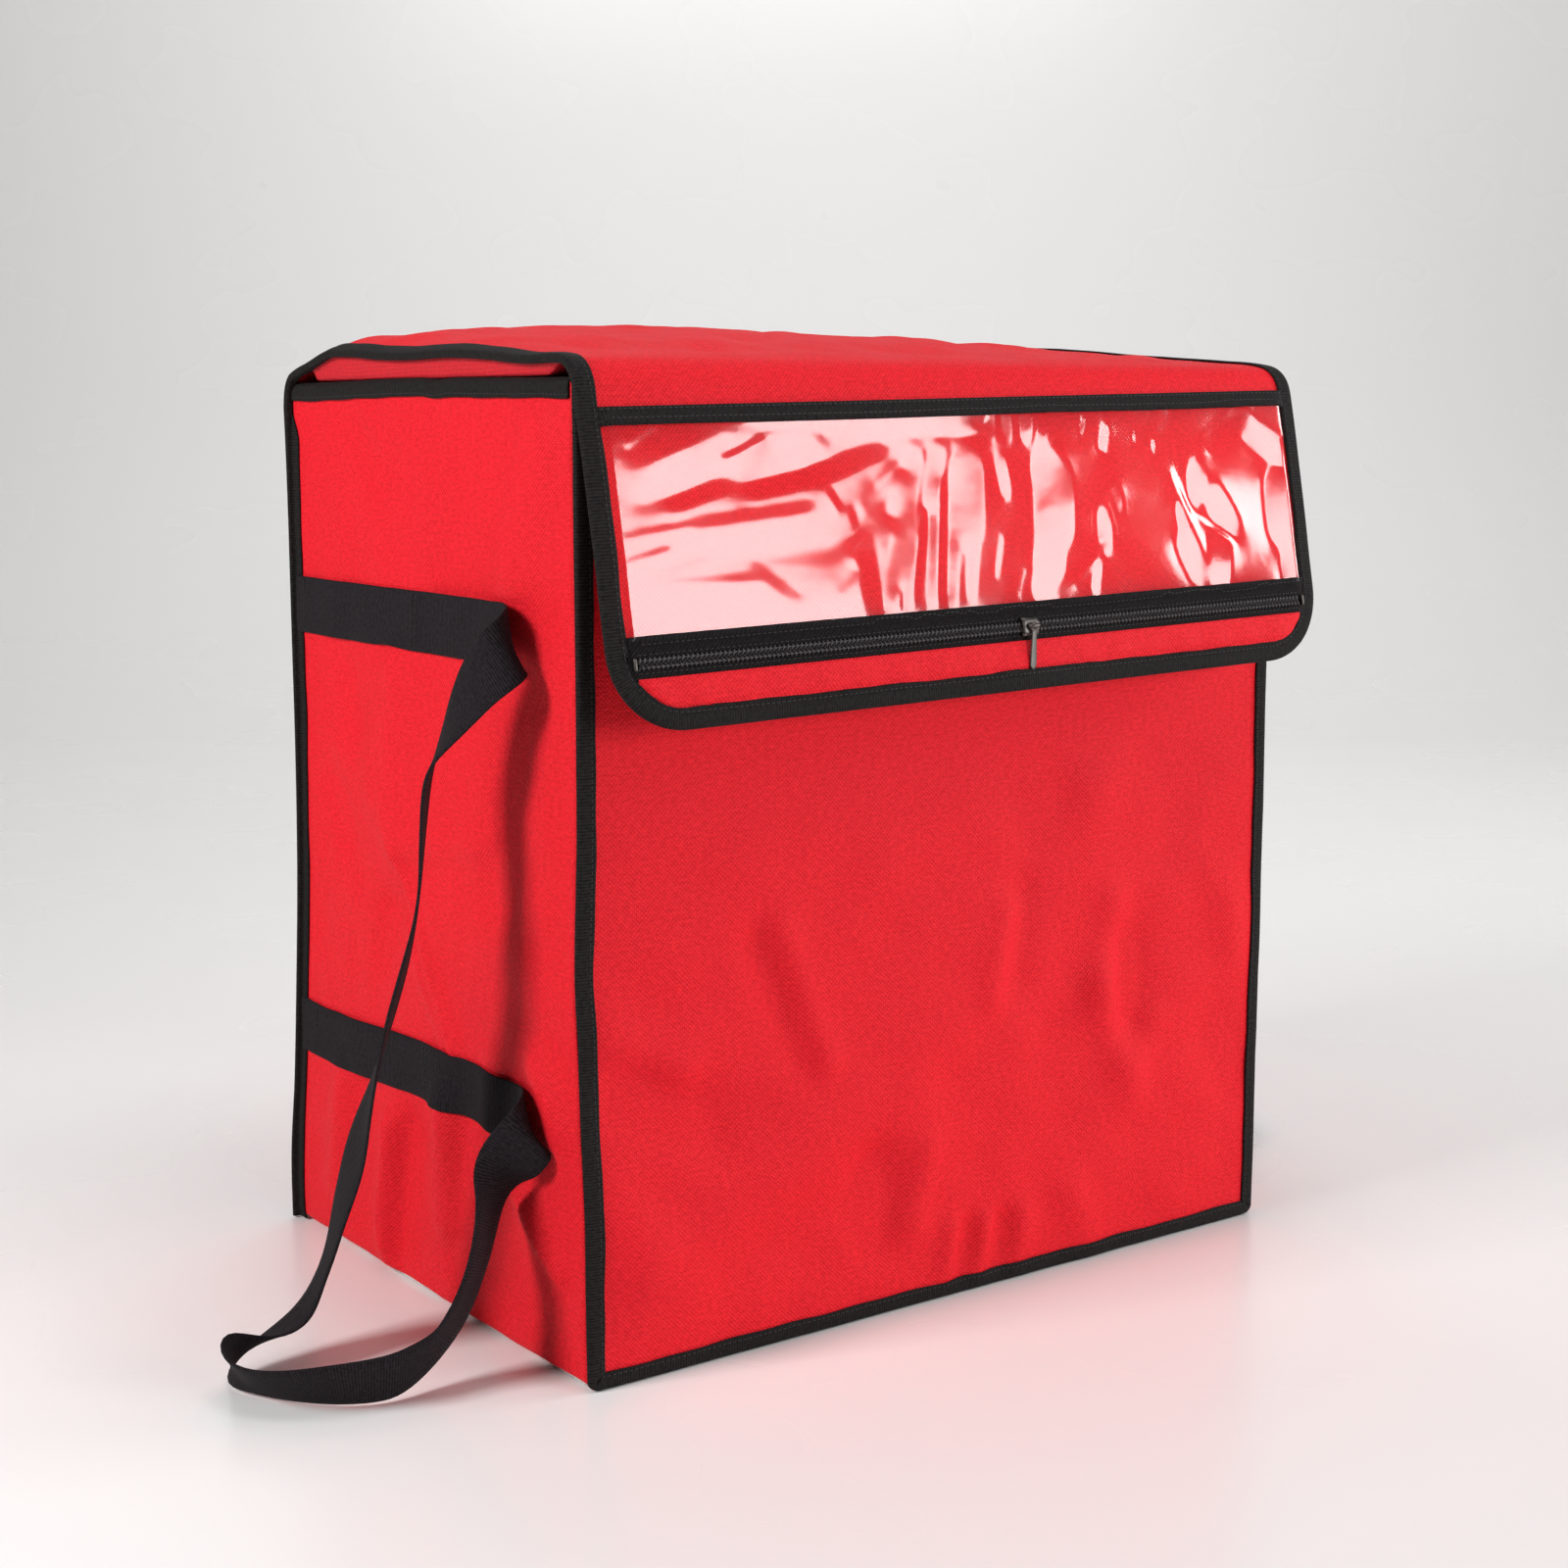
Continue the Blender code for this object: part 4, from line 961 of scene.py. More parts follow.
def finish(name):
    """The finish for a material slot, or for thread, made once."""
    full = f"bag_{name}"
    found = bpy.data.materials.get(full)
    if found:
        return found
    sizes, colours = bpy.context.scene.bag_sizes, bpy.context.scene.bag_colours
    if name == "red_coated_polyester":
        twill = math.radians(45)
        # The coated cloth's light threads carry a painted glint, a painted highlight
        return woven(full, colours.cloth, sizes.weave, 0.8, 0.6, 0.10, (0.80, 1.12), twill, painted_glint=0.006)
    if name == "red_lining_fabric":
        return woven(full, colours.lining, sizes.weave * 1.3, 0.6, 0.6, 0.3, shades=(0.8, 1.1))
    if name == "black_binding_tape":
        return ribbed(full, colours.binding, 0.0016, 0.5, 0.75, "Y")
    if name == "black_webbing":
        return ribbed(full, colours.webbing, 0.0015, 0.5, 0.85, "Y")
    if name == "insulation_foam":
        return fleecy(full, colours.foam, 0.0012, 0.3)
    if name == "clear_pvc_sheet":
        return clear_film(full)
    if name == "black_zip_tape":
        return ribbed(full, colours.zip_tape, 0.0012, 0.5, 0.8, "DIAGONAL")
    if name == "black_nylon_coil":
        return moulded(full, colours.coil, 0.4)
    if name == "black_hook_and_loop":
        return fleecy(full, colours.hook_loop, 0.0009, 0.9)
    if name == "sewing_thread":
        return moulded(full, colours.thread, 0.6)
    return plated(full, colours.nickel)


# Where the cloth lies


def settled(points, sizes):
    """The walls as they stand: y less (lean + bow) times the share of the way to the back.

    The lean grows with height and is the same from left to right. The bow is the left edge's own.
    """
    x, y, z = points[..., 0], points[..., 1], points[..., 2]
    half_depth, half_width = sizes.depth / 2, sizes.width / 2
    to_back = (y + half_depth) / sizes.depth
    lean = sizes.back_lean * z / sizes.height
    bow = curve_through(z, *BOW) * (1.0 - ease(x, -half_width, 0.08))
    at_front_left = (1.0 - ease(x, -half_width, -0.10)) * (1.0 - ease(to_back, 0.0, 0.4))
    wander = curve_through(z, *EDGE_WANDER) * at_front_left
    return np.stack([x + wander, y - (lean + bow) * to_back, z], axis=-1)


def pillowed(u, v):
    """A pillow's rise over a panel, from 0 at its seams to 1: (1 - u^4)(1 - v^4), u and v from -1 to 1."""
    return (1 - np.clip(u, -1, 1) ** 4) * (1 - np.clip(v, -1, 1) ** 4)


def front_swell(x, z, sizes):
    """How far the front cloth stands off its wall: room x (lift + pillow + held x slack).

    held is less at the seams, and room goes to nought where the flap lies on it.
    """
    half = sizes.width / 2
    pillow = PILLOW * pillowed(x / half, 2 * z / sizes.height - 1)
    held = 0.2 + 0.8 * ease(half - np.abs(x), 0.0, 0.03) * ease(z, 0.0, 0.03)
    slack = FOLD_DEPTH * folds(x, z, FRONT_FOLDS) + crumple(x, z, 1.0)
    room = 1.0 - ease(z, *FLAP_ROOM)
    return LEAST_LIFT + room * np.maximum(0.7 * MM + pillow + held * slack, 0.0)


def side_swell(y, z, sizes):
    """How far a side's cloth stands off its wall: lift + pillow + held x slack, held less at the seams."""
    half = sizes.depth / 2
    pillow = PILLOW * pillowed(y / half, 2 * z / sizes.height - 1)
    inside = ease(half - np.abs(y), 0.0, 0.025) * ease(z, 0.0, 0.02) * ease(sizes.height - z, 0.0, 0.02)
    held = 0.2 + 0.8 * inside
    slack = FOLD_DEPTH * folds(y, z, SIDE_FOLDS) + crumple(y, z, 2.0)
    return np.maximum(0.8 * MM + pillow + held * slack, LEAST_LIFT)


def back_swell(x, z, sizes):
    """How far the back cloth stands off its wall: the same sum as a side's, nought along its edges."""
    half = sizes.long_width / 2
    pillow = 3.0 * MM * pillowed(x / half, 2 * z / sizes.height - 1)
    slack = FOLD_DEPTH * folds(x, z, BACK_FOLDS) + crumple(x, z, 3.0)
    held = ease(half - np.abs(x), 0.0, 0.03) * ease(sizes.height - z, 0.0, 0.04)
    return np.maximum(0.4 * MM + pillow + held * slack, LEAST_LIFT)


def strip_line(half_x, floor_z, top_z, radius, step):
    """Down the left side, across the base and up the right side: x, z, outward x, outward z."""
    down = lines_between(top_z, floor_z + radius, step)
    over = lines_between(-half_x + radius, half_x - radius, step)[1:-1]
    bend = np.linspace(0.0, math.pi / 2, 7)[1:-1]
    inner_x, inner_z = half_x - radius, floor_z + radius
    cos, sin = np.cos(bend), np.sin(bend)
    runs = [
        (-half_x + 0 * down, down, -1.0 + 0 * down, 0 * down),
        (-inner_x - radius * cos, inner_z - radius * sin, -cos, -sin),
        (over, floor_z + 0 * over, 0 * over, -1.0 + 0 * over),
        (inner_x + radius * sin, inner_z - radius * cos, sin, -cos),
        (half_x + 0 * down, down[::-1], 1.0 + 0 * down, 0 * down),
    ]
    return tuple(np.concatenate([run[k] for run in runs]) for k in range(4))


def lid_top(x, y, sizes):
    """Height of the lid's cloth: its two side edges, straight between them, and a crown over that."""
    across = np.clip(2 * x / sizes.long_width, -1.0, 1.0)
    left = curve_through(y, LID_EDGE_Y, LID_LEFT_Z)
    right = curve_through(y, LID_EDGE_Y, LID_RIGHT_Z)
    crown = curve_through(across, *CROWN_ACROSS) * curve_through(y, *CROWN_ALONG)
    slack = 1.3 * crumple(x, y, 4.0) * ease(1 - np.abs(across), 0.0, 0.12)
    slack = slack * ease(y, -0.165, -0.135) * ease(-y, -LID_BACK_Y, -0.105)
    return left + (right - left) * (1 + across) / 2 + crown + slack


def on_flap(x, out, down, sizes):
    """A point of the flap's own plane in the row frame: turned by its skew, tilted, set at the fold."""
    x, out, down = np.broadcast_arrays(x, out, down)
    tilt, skew = sizes.flap_tilt, sizes.flap_skew
    across = x * math.cos(skew) + down * math.sin(skew)
    up = x * math.sin(skew) - down * math.cos(skew)
    y = -out * math.cos(tilt) + up * math.sin(tilt)
    z = out * math.sin(tilt) + up * math.cos(tilt)
    return np.stack([across, y, z], axis=-1) + FRONT_FOLD


def flap_half(down, sizes, inset=0.0):
    """Half the flap's width at a drop, less an inset: straight, then in round the corners by an arc."""
    half, radius = sizes.long_width / 2, sizes.flap_corner
    into = np.clip(down - (sizes.flap_drop - radius), 0.0, radius - inset)
    return half - radius + np.sqrt(np.maximum((radius - inset) ** 2 - into**2, 0.0))


def flap_swell(x, down):
    """How far the flap's cloth leaves its plane: a slow wave at its edges, none along the zip."""
    still = 1.0 - ease(down, 0.085, 0.118) * (1.0 - ease(down, 0.152, 0.166))
    wave = 0.8 * MM * np.sin(x / 0.041 + 1.0) + 0.6 * MM * np.sin(x / 0.019) * ease(down, 0.15, 0.168)
    return still * wave * ease(down, 0.012, 0.04)


def bent(first, lead, follow, last, count):
    """Rows of points on the cubic curves between two lines of points.

    Each is (1-t)^3 first + 3 (1-t)^2 t lead + 3 (1-t) t^2 follow + t^3 last.
    """
    t = np.linspace(0.0, 1.0, count)[:, None, None]
    return (1 - t) ** 3 * first + 3 * (1 - t) ** 2 * t * lead + 3 * (1 - t) * t**2 * follow + t**3 * last


def long_cloth(sizes, part, depth=0.0, inset=0.0, close=()):
    """The one long piece that is back, lid and flap, as rows from the back's foot to the flap's edge.

    part is "back" for the rows up to a little way past the hinge, or "front" for those after.
    depth is how far a layer lies under the outer face, inset how far its edges lie in from the cut,
    and close adds grid lines at distances in from its sides.
    """
    half = sizes.long_width / 2 - inset
    extra = 1.0 - np.array(close, float) / half
    across = np.unique(np.concatenate([lines_between(-1.0, 1.0, sizes.cloth_step / half), extra, -extra]))
    x = across * half
    if part == "back":
        wall_top = sizes.height - 0.012
        z = lines_between(BINDING_FOOT, wall_top, sizes.cloth_step)[:, None]
        wall = settled(stacked(x, sizes.depth / 2 + back_swell(x, z, sizes) - depth, z), sizes)
        last = stacked(x, LID_BACK_Y, lid_top(x, LID_BACK_Y, sizes) - depth)
        run = 0.004
        ahead = lid_top(x, LID_BACK_Y - run, sizes) - lid_top(x, LID_BACK_Y, sizes)
        first = wall[-1]
        lead = first + np.array([0.0, -0.0003, 0.0075])
        follow = last - 2.0 * stacked(0 * x, -run, ahead)
        turn = bent(first, lead, follow, last, 9)[1:]
        over = lines_between(LID_BACK_Y, LONG_SEAM_Y, sizes.cloth_step)[1:, None]
        return np.concatenate([wall, turn, stacked(x, over, lid_top(x, over, sizes) - depth)])
    # The front part starts 3 mm behind the seam and just under the back part, so that no gap shows
    first_y = LONG_SEAM_Y + 0.003
    y = lines_between(first_y, LID_FRONT_Y, sizes.cloth_step)[:, None]
    tucked = 0.00008 * (1.0 - ease(-y, -first_y, -first_y + 0.006))
    lid = stacked(x, y, lid_top(x, y, sizes) - depth - tucked)
    start = 0.0125 + x * math.tan(sizes.flap_skew)
    first = lid[-1]
    last = on_flap(x, -depth, start, sizes)
    lead = first + 0.0085 * unit(lid[-1] - lid[-2])
    follow = last - 0.0095 * unit(on_flap(x, 0.0, start + 0.01, sizes) - on_flap(x, 0.0, start, sizes))
    fold = bent(first, lead, follow, last, 11)[1:]
    corner = sizes.flap_drop - sizes.flap_corner
    share = lines_between(0.0, 1.0, sizes.cloth_step / corner)[1:, None]
    turn = np.linspace(0.0, math.pi / 2, CORNER_ROWS + 1)[1:, None]
    straight = start[None] + share * (corner - start[None])
    down = np.concatenate([straight, corner + (sizes.flap_corner - inset) * np.sin(turn) + 0 * start[None]])
    wide = across[None] * flap_half(down, sizes, inset)
    flap = on_flap(wide, flap_swell(wide, down) - depth, down, sizes)
    return np.concatenate([lid, fold, flap])


def cloth_of(points):
    """Cloth coordinates in metres: how far along each row, and how far down the middle column."""
    steps = np.linalg.norm(np.diff(points, axis=1), axis=2)
    across = np.concatenate([np.zeros((len(points), 1)), np.cumsum(steps, axis=1)], axis=1)
    across = across - across[:, across.shape[1] // 2][:, None]
    down = running_length(points[:, points.shape[1] // 2])[:, None] + 0 * across
    return np.stack([across, down], axis=-1)


def edge_frames(rim, inner):
    """For a cut edge and the cloth's line just inside it: the edge, its outward way and its normal."""
    along = unit(np.gradient(rim, axis=0))
    out = square_to(rim - inner, along)
    return rim, out, np.cross(out, along)


def fold_section(width, inside, back=None, overhang=None):
    """A tape folded over an edge: in along the front face, round the edge and back along the rear.

    a is outward from the edge and b out of the front face; the round is a half circle of the gap.
    With an overhang, the edge stands that far past a wall, and the tape turns down along the wall.
    """
    back = width if back is None else back
    half = (inside + 2 * GAP) / 2
    turn = np.linspace(math.pi / 2, -math.pi / 2, 7)
    front = [(-1.0, 1.0), (-0.9, 1.5), (-0.74, 1.0), (-0.45, 2.2), (-0.15, 1.6)]
    front = [(a * width, b * GAP) for a, b in front]
    round_edge = [(GAP + half * 0.55 * math.cos(t), -inside / 2 + half * math.sin(t)) for t in turn]
    if overhang is None:
        rear = ((0.2, 2 * GAP), (0.45, 2 * GAP), (0.74, GAP), (1.0, GAP))
    else:
        back, rear = overhang, ((0.6, GAP), (1.0, 0.0015), (1.0, 0.005), (1.0, width))
    rear = [(-back * share, -inside - deep) for share, deep in rear]
    return np.array(front + round_edge + rear)


def bound_edge(name, rim, out, normal, section, sizes, seed, ground, turned=False, wall_ground=None):
    """Binding folded over a cut edge, its inner line a little uneven, lying on the cloth it binds."""
    s = running_length(rim)
    uneven = 1.0 + 0.08 * waver(s, seed)[:, None]
    section = np.broadcast_to(section, (len(rim), *section.shape[-2:]))
    a = section[..., 0] * np.where(section[..., 0] < 0, uneven, 1.0)
    points = swept(rim, out, normal, np.stack([a, section[..., 1]], axis=-1))
    points[:, FRONT_LEG] = rested(points[:, FRONT_LEG], ground, section[:, FRONT_LEG, 1])
    if wall_ground:
        points[:, WALL_LEG] = rested(points[:, WALL_LEG], wall_ground, GAP)
    cloth, wall = swept_cloth(rim, section[0]), sizes.binding_wall
    return sheet_piece(name, points, cloth, "black_binding_tape", turned, wall, inward=False)


def stitch_row(rim, out, normal, inset, lift, sizes, ground=None, pitch=None):
    """Places along an edge for stitches: their middles, ways and normals, at an even pitch."""
    line = rim - inset * out + lift * normal
    if ground:
        line = rested(line, ground, lift)
    s = running_length(line)
    pitch = pitch or sizes.stitch_pitch
    at = np.arange(pitch / 2, s[-1], pitch)
    middle, way, face = (
        np.stack([np.interp(at, s, field[:, k]) for k in range(3)], axis=1)
        for field in (line, unit(np.gradient(line, axis=0)), normal)
    )
    return middle, unit(way), unit(face)


def stitches(name, rows, length=0.0024, radius=0.00028):
    """Threads lying in rows: each is a short bowed cord, thick in the middle and dipping at its ends."""
    middle, way, face = (np.concatenate([row[k] for row in rows]) for k in range(3))
    side = np.cross(way, face)
    t = np.array([-1.0, -0.75, 0.0, 0.75, 1.0])[:, None]
    thick = radius * np.array([0.35, 0.9, 1.0, 0.9, 0.35])[:, None, None]
    centre = middle[:, None] + t * length / 2 * way[:, None] - 1.6 * radius * t**4 * face[:, None]
    turn = around_once(5)[:, None]
    ring = np.cos(turn) * face[:, None] + np.sin(turn) * side[:, None]
    points = centre[:, :, None] + thick * ring[:, None]
    count, rows, columns = points.shape[:3]
    quads, _ = quads_of(rows, columns, True, False)
    shift = (np.arange(count) * rows * columns)[:, None, None]
    ends = np.stack([np.arange(columns)[::-1], (rows - 1) * columns + np.arange(columns)])
    faces = (quads + shift).reshape(-1, 4).tolist() + (ends + shift).reshape(-1, columns).tolist()
    corners = np.zeros((sum(len(f) for f in faces), 2))
    return piece_from(name, points, faces, corners, "black_binding_tape", finish("sewing_thread"))


# Operators


class BuildGusset(bpy.types.Operator):
    """Side, base and other side in one strip of coated cloth"""

    bl_idname = "bag.gusset"
    bl_label = "Sides and base"

    def execute(self, context):
        sizes = context.scene.bag_sizes
        bend, off_floor, uneven = 0.006, 0.2 * MM, 0.6 * MM
        strip = strip_line(sizes.width / 2, 0.0, sizes.height, bend, sizes.cloth_step)
        x, z, out_x, out_z = (part[:, None] for part in strip)
        half = sizes.depth / 2 - SHELL - GAP
        y = lines_between(-half, half, sizes.cloth_step)
        swell = side_swell(y, z, sizes) * np.abs(out_x)
        lift = off_floor + uneven * np.maximum(-out_z, 0.0) * (1 + waver(y + x, 2.0))
        points = settled(stacked(x + out_x * swell, y, z + lift), sizes)
        made = sheet_piece("gusset_cloth", points, cloth_of(points), "red_coated_polyester", wall=SHELL)
        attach(made, "body")
        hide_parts("gusset_panel")
        return {"FINISHED"}


class BuildFront(bpy.types.Operator):
    """Front panel of coated cloth"""

    bl_idname = "bag.front"
    bl_label = "Front panel"

    def execute(self, context):
        sizes = context.scene.bag_sizes
        half = sizes.width / 2 - BINDING_FOOT
        x = lines_between(-half, half, sizes.cloth_step)
        z = lines_between(BINDING_FOOT, sizes.height, sizes.cloth_step)[:, None]
        points = settled(stacked(x, -sizes.depth / 2 - front_swell(x, z, sizes), z), sizes)
        made = sheet_piece("front_cloth", points, cloth_of(points), "red_coated_polyester", wall=SHELL)
        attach(made, "body")
        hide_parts("front_panel")
        return {"FINISHED"}


class BuildBack(bpy.types.Operator):
    """Back panel of coated cloth, which goes on over the hinge"""

    bl_idname = "bag.back"
    bl_label = "Back panel"

    def execute(self, context):
        sizes = context.scene.bag_sizes
        points = long_cloth(sizes, "back")
        cloth = cloth_of(points)
        made = sheet_piece("back_cloth", points, cloth, "red_coated_polyester", turned=True, wall=SHELL)
        over_hinge(made)
        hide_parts("back_panel")
        return {"FINISHED"}


def over_hinge(made):
    """Bake a piece's place into its points; the piece lies between the body and the lid."""
    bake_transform(made)


def over_fold(made):
    """Bake a piece's place into its points; the piece lies between the lid and the flap."""
    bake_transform(made)


class BuildLidFlap(bpy.types.Operator):
    """Lid and front flap, in one sheet of coated cloth"""

    bl_idname = "bag.lid_flap"
    bl_label = "Lid and flap"

    def execute(self, context):
        sizes = context.scene.bag_sizes
        points = long_cloth(sizes, "front")
        cloth = cloth_of(points)
        made = sheet_piece("lid_flap_cloth", points, cloth, "red_coated_polyester", turned=True, wall=SHELL)
        over_fold(made)
        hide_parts("lid_panel", "flap_panel")
        return {"FINISHED"}


def lining_slack(s, z, seed, sizes):
    """How far the lining stands off its foam: 0.4 mm + 0.8 mm (1 + waver), nought under the binding."""
    below_rim = 1.0 - ease(z, sizes.height - 0.030, sizes.height - 0.011)
    return (0.8 * MM * (1 + waver(s, seed)) + 0.4 * MM) * below_rim


class BuildLining(bpy.types.Operator):
    """Lining of the walls, and of the lid and flap"""

    bl_idname = "bag.lining"
    bl_label = "Lining"

    def execute(self, context):
        sizes = context.scene.bag_sizes
        slot, step, bend = "red_lining_fabric", sizes.cloth_step, 0.004
        inset = WALL - LINING
        half_x, half_y = sizes.width / 2 - inset, sizes.depth / 2 - inset
        strip = strip_line(half_x, inset, sizes.height, bend, step)
        x, z, out_x, out_z = (part[:, None] for part in strip)
        y = lines_between(-half_y + 1.1 * MM, half_y - 1.1 * MM, step)
        slack = lining_slack(y + 2 * x + z, z, 4.0, sizes)
        points = settled(stacked(x - out_x * slack, y, z - out_z * slack), sizes)
        sides = sheet_piece("lining_sides", points, cloth_of(points), slot, wall=LINING)
        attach(sides, "body")
        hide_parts("lining_gusset")
        for word, side in (("front", -1.0), ("back", 1.0)):
            x = lines_between(-half_x, half_x, step)
            z = lines_between(inset, sizes.height, step)[:, None]
            slack = lining_slack(x + z * 1.7, z, 5.0 + side, sizes)
            points = settled(stacked(x, side * (half_y - slack), z), sizes)
            name, cloth = f"lining_{word}_panel", cloth_of(points)
            panel = sheet_piece(name, points, cloth, slot, side < 0, LINING, inward=False)
            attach(panel, "body")
            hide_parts(f"lining_{word}")
        points = long_cloth(sizes, "front", depth=SHELL + GAP, inset=1.2 * MM, close=PAD_EDGE)
        x, y, z = points[..., 0], points[..., 1], points[..., 2]
        inward = sizes.long_width / 2 - np.abs(x)
        # Under the pad it lies a foam's thickness down, and near the sides it hangs to just over the rims
        thick, over_rim = FOAM + GAP, 4.0 * MM
        near_side = 1.0 - ease(inward, 0.008, 0.060)
        hang = thick + np.maximum(z - sizes.height - over_rim - thick, 0.0) * near_side
        on_pad = ease(-y, -0.121, -0.113) * (1.0 - ease(-y, 0.140, 0.156))
        room = hang * ease(inward, 0.0030, 0.0056) * on_pad
        points = points - stacked(0.0, 0.0, room)
        under = sheet_piece("lid_flap_lining", points, cloth_of(points), slot, turned=True, wall=LINING)
        over_fold(under)
        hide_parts("lid_lining", "flap_lining")
        return {"FINISHED"}


class BuildFoam(bpy.types.Operator):
    """Foam slabs in the walls, the base and the lid"""

    bl_idname = "bag.foam"
    bl_label = "Foam"

    def execute(self, context):
        sizes = context.scene.bag_sizes
        step = sizes.cloth_step * 4
        near, far = PAD_FACES_Y
        spans = {
            "foam_front": (-far, -near, 0.0),
            "foam_back": (near, far, BACK_PAD_SHORT),
            "foam_left": (-SIDE_PAD_HALF, SIDE_PAD_HALF, 0.0),
            "foam_right": (-SIDE_PAD_HALF, SIDE_PAD_HALF, 0.0),
            "foam_base": (-SIDE_PAD_HALF, SIDE_PAD_HALF, 0.0),
        }

        def in_wall(points):
            return settled(points, sizes)

        for node, (low_y, high_y, short) in spans.items():
            low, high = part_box(node)
            low, high = (low[0], low_y, low[2]), (high[0], high_y, high[2] - short)
            made = slab(node.replace("foam_", "pad_"), low, high, step, in_wall)
            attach(made, "body")
            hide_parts(node)
        half = sizes.long_width / 2 - LID_PAD_INSET
        low, high = (-half, LID_PAD_Y[0], 0.0), (half, LID_PAD_Y[1], FOAM)

        def under_lid(points):
            x, y, z = points[..., 0], points[..., 1], points[..., 2]
            return stacked(x, y, lid_top(x, y, sizes) - SHELL - GAP - FOAM + z)

        made = slab("pad_lid", low, high, step, under_lid)
        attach(made, "lid")
        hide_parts("lid_foam")
        return {"FINISHED"}


def slab(name, low, high, step, placed):
    """A foam slab between two corners: a rim of six loops, closed by a grid on each long face.

    A loop is the outline of the long face, drawn in by a share of the wall, at a share of its depth.
    """
    spans = np.array(high) - np.array(low)
    thin = int(np.argmin(spans))
    u, v = [k for k in range(3) if k != thin]
    us = lines_between(low[u], high[u], step)
    vs = lines_between(low[v], high[v], step)
    wall = spans[thin]

    def level(at_u, at_v, share, inset):
        pull = inset * wall
        flat = np.zeros((*at_u.shape, 3))
        flat[..., u] = np.clip(at_u, us[0] + pull, us[-1] - pull)
        flat[..., v] = np.clip(at_v, vs[0] + pull, vs[-1] - pull)
        flat[..., thin] = low[thin] + share * wall
        return flat

    inner, across, up = vs[1:-1], 0 * us, 0 * vs[1:-1]
    loop_u = np.concatenate([us, us[-1] + up, us[::-1], us[0] + up])
    loop_v = np.concatenate([vs[0] + across, inner, vs[-1] + across, inner[::-1]])
    levels = ((0.0, 0.3), (0.0, 0.1), (0.25, 0.0), (0.75, 0.0), (1.0, 0.1), (1.0, 0.3))
    rim = np.stack([level(loop_u, loop_v, share, inset) for share, inset in levels])
    quads, _ = quads_of(*rim.shape[:2], True, False)
    points, faces, corners = [rim.reshape(-1, 3)], quads.tolist(), [np.zeros((quads.size, 2))]
    first = len(points[0])
    grid_u, grid_v = np.meshgrid(us, vs, indexing="ij")
    for (share, inset), turned in ((levels[0], True), (levels[-1], False)):
        quads, flat = quads_of(*grid_u.shape, False, turned, first)
        faces += quads.tolist()
        corners.append(np.stack([grid_u, grid_v], axis=-1).reshape(-1, 2)[flat.ravel()])
        points.append(level(grid_u, grid_v, share, inset).reshape(-1, 3))
        first += grid_u.size
    points, corners = placed(np.concatenate(points)), np.concatenate(corners)
    made = piece_from(name, points, faces, corners, "insulation_foam", finish("insulation_foam"))
    whole(made)
    return made


def whole(made):
    """Merge a piece's doubled points and turn its faces outwards."""
    mesh = bmesh.new()
    mesh.from_mesh(made.data)
    bmesh.ops.remove_doubles(mesh, verts=mesh.verts, dist=1e-6)
    bmesh.ops.recalc_face_normals(mesh, faces=mesh.faces)
    mesh.to_mesh(made.data)
    mesh.free()


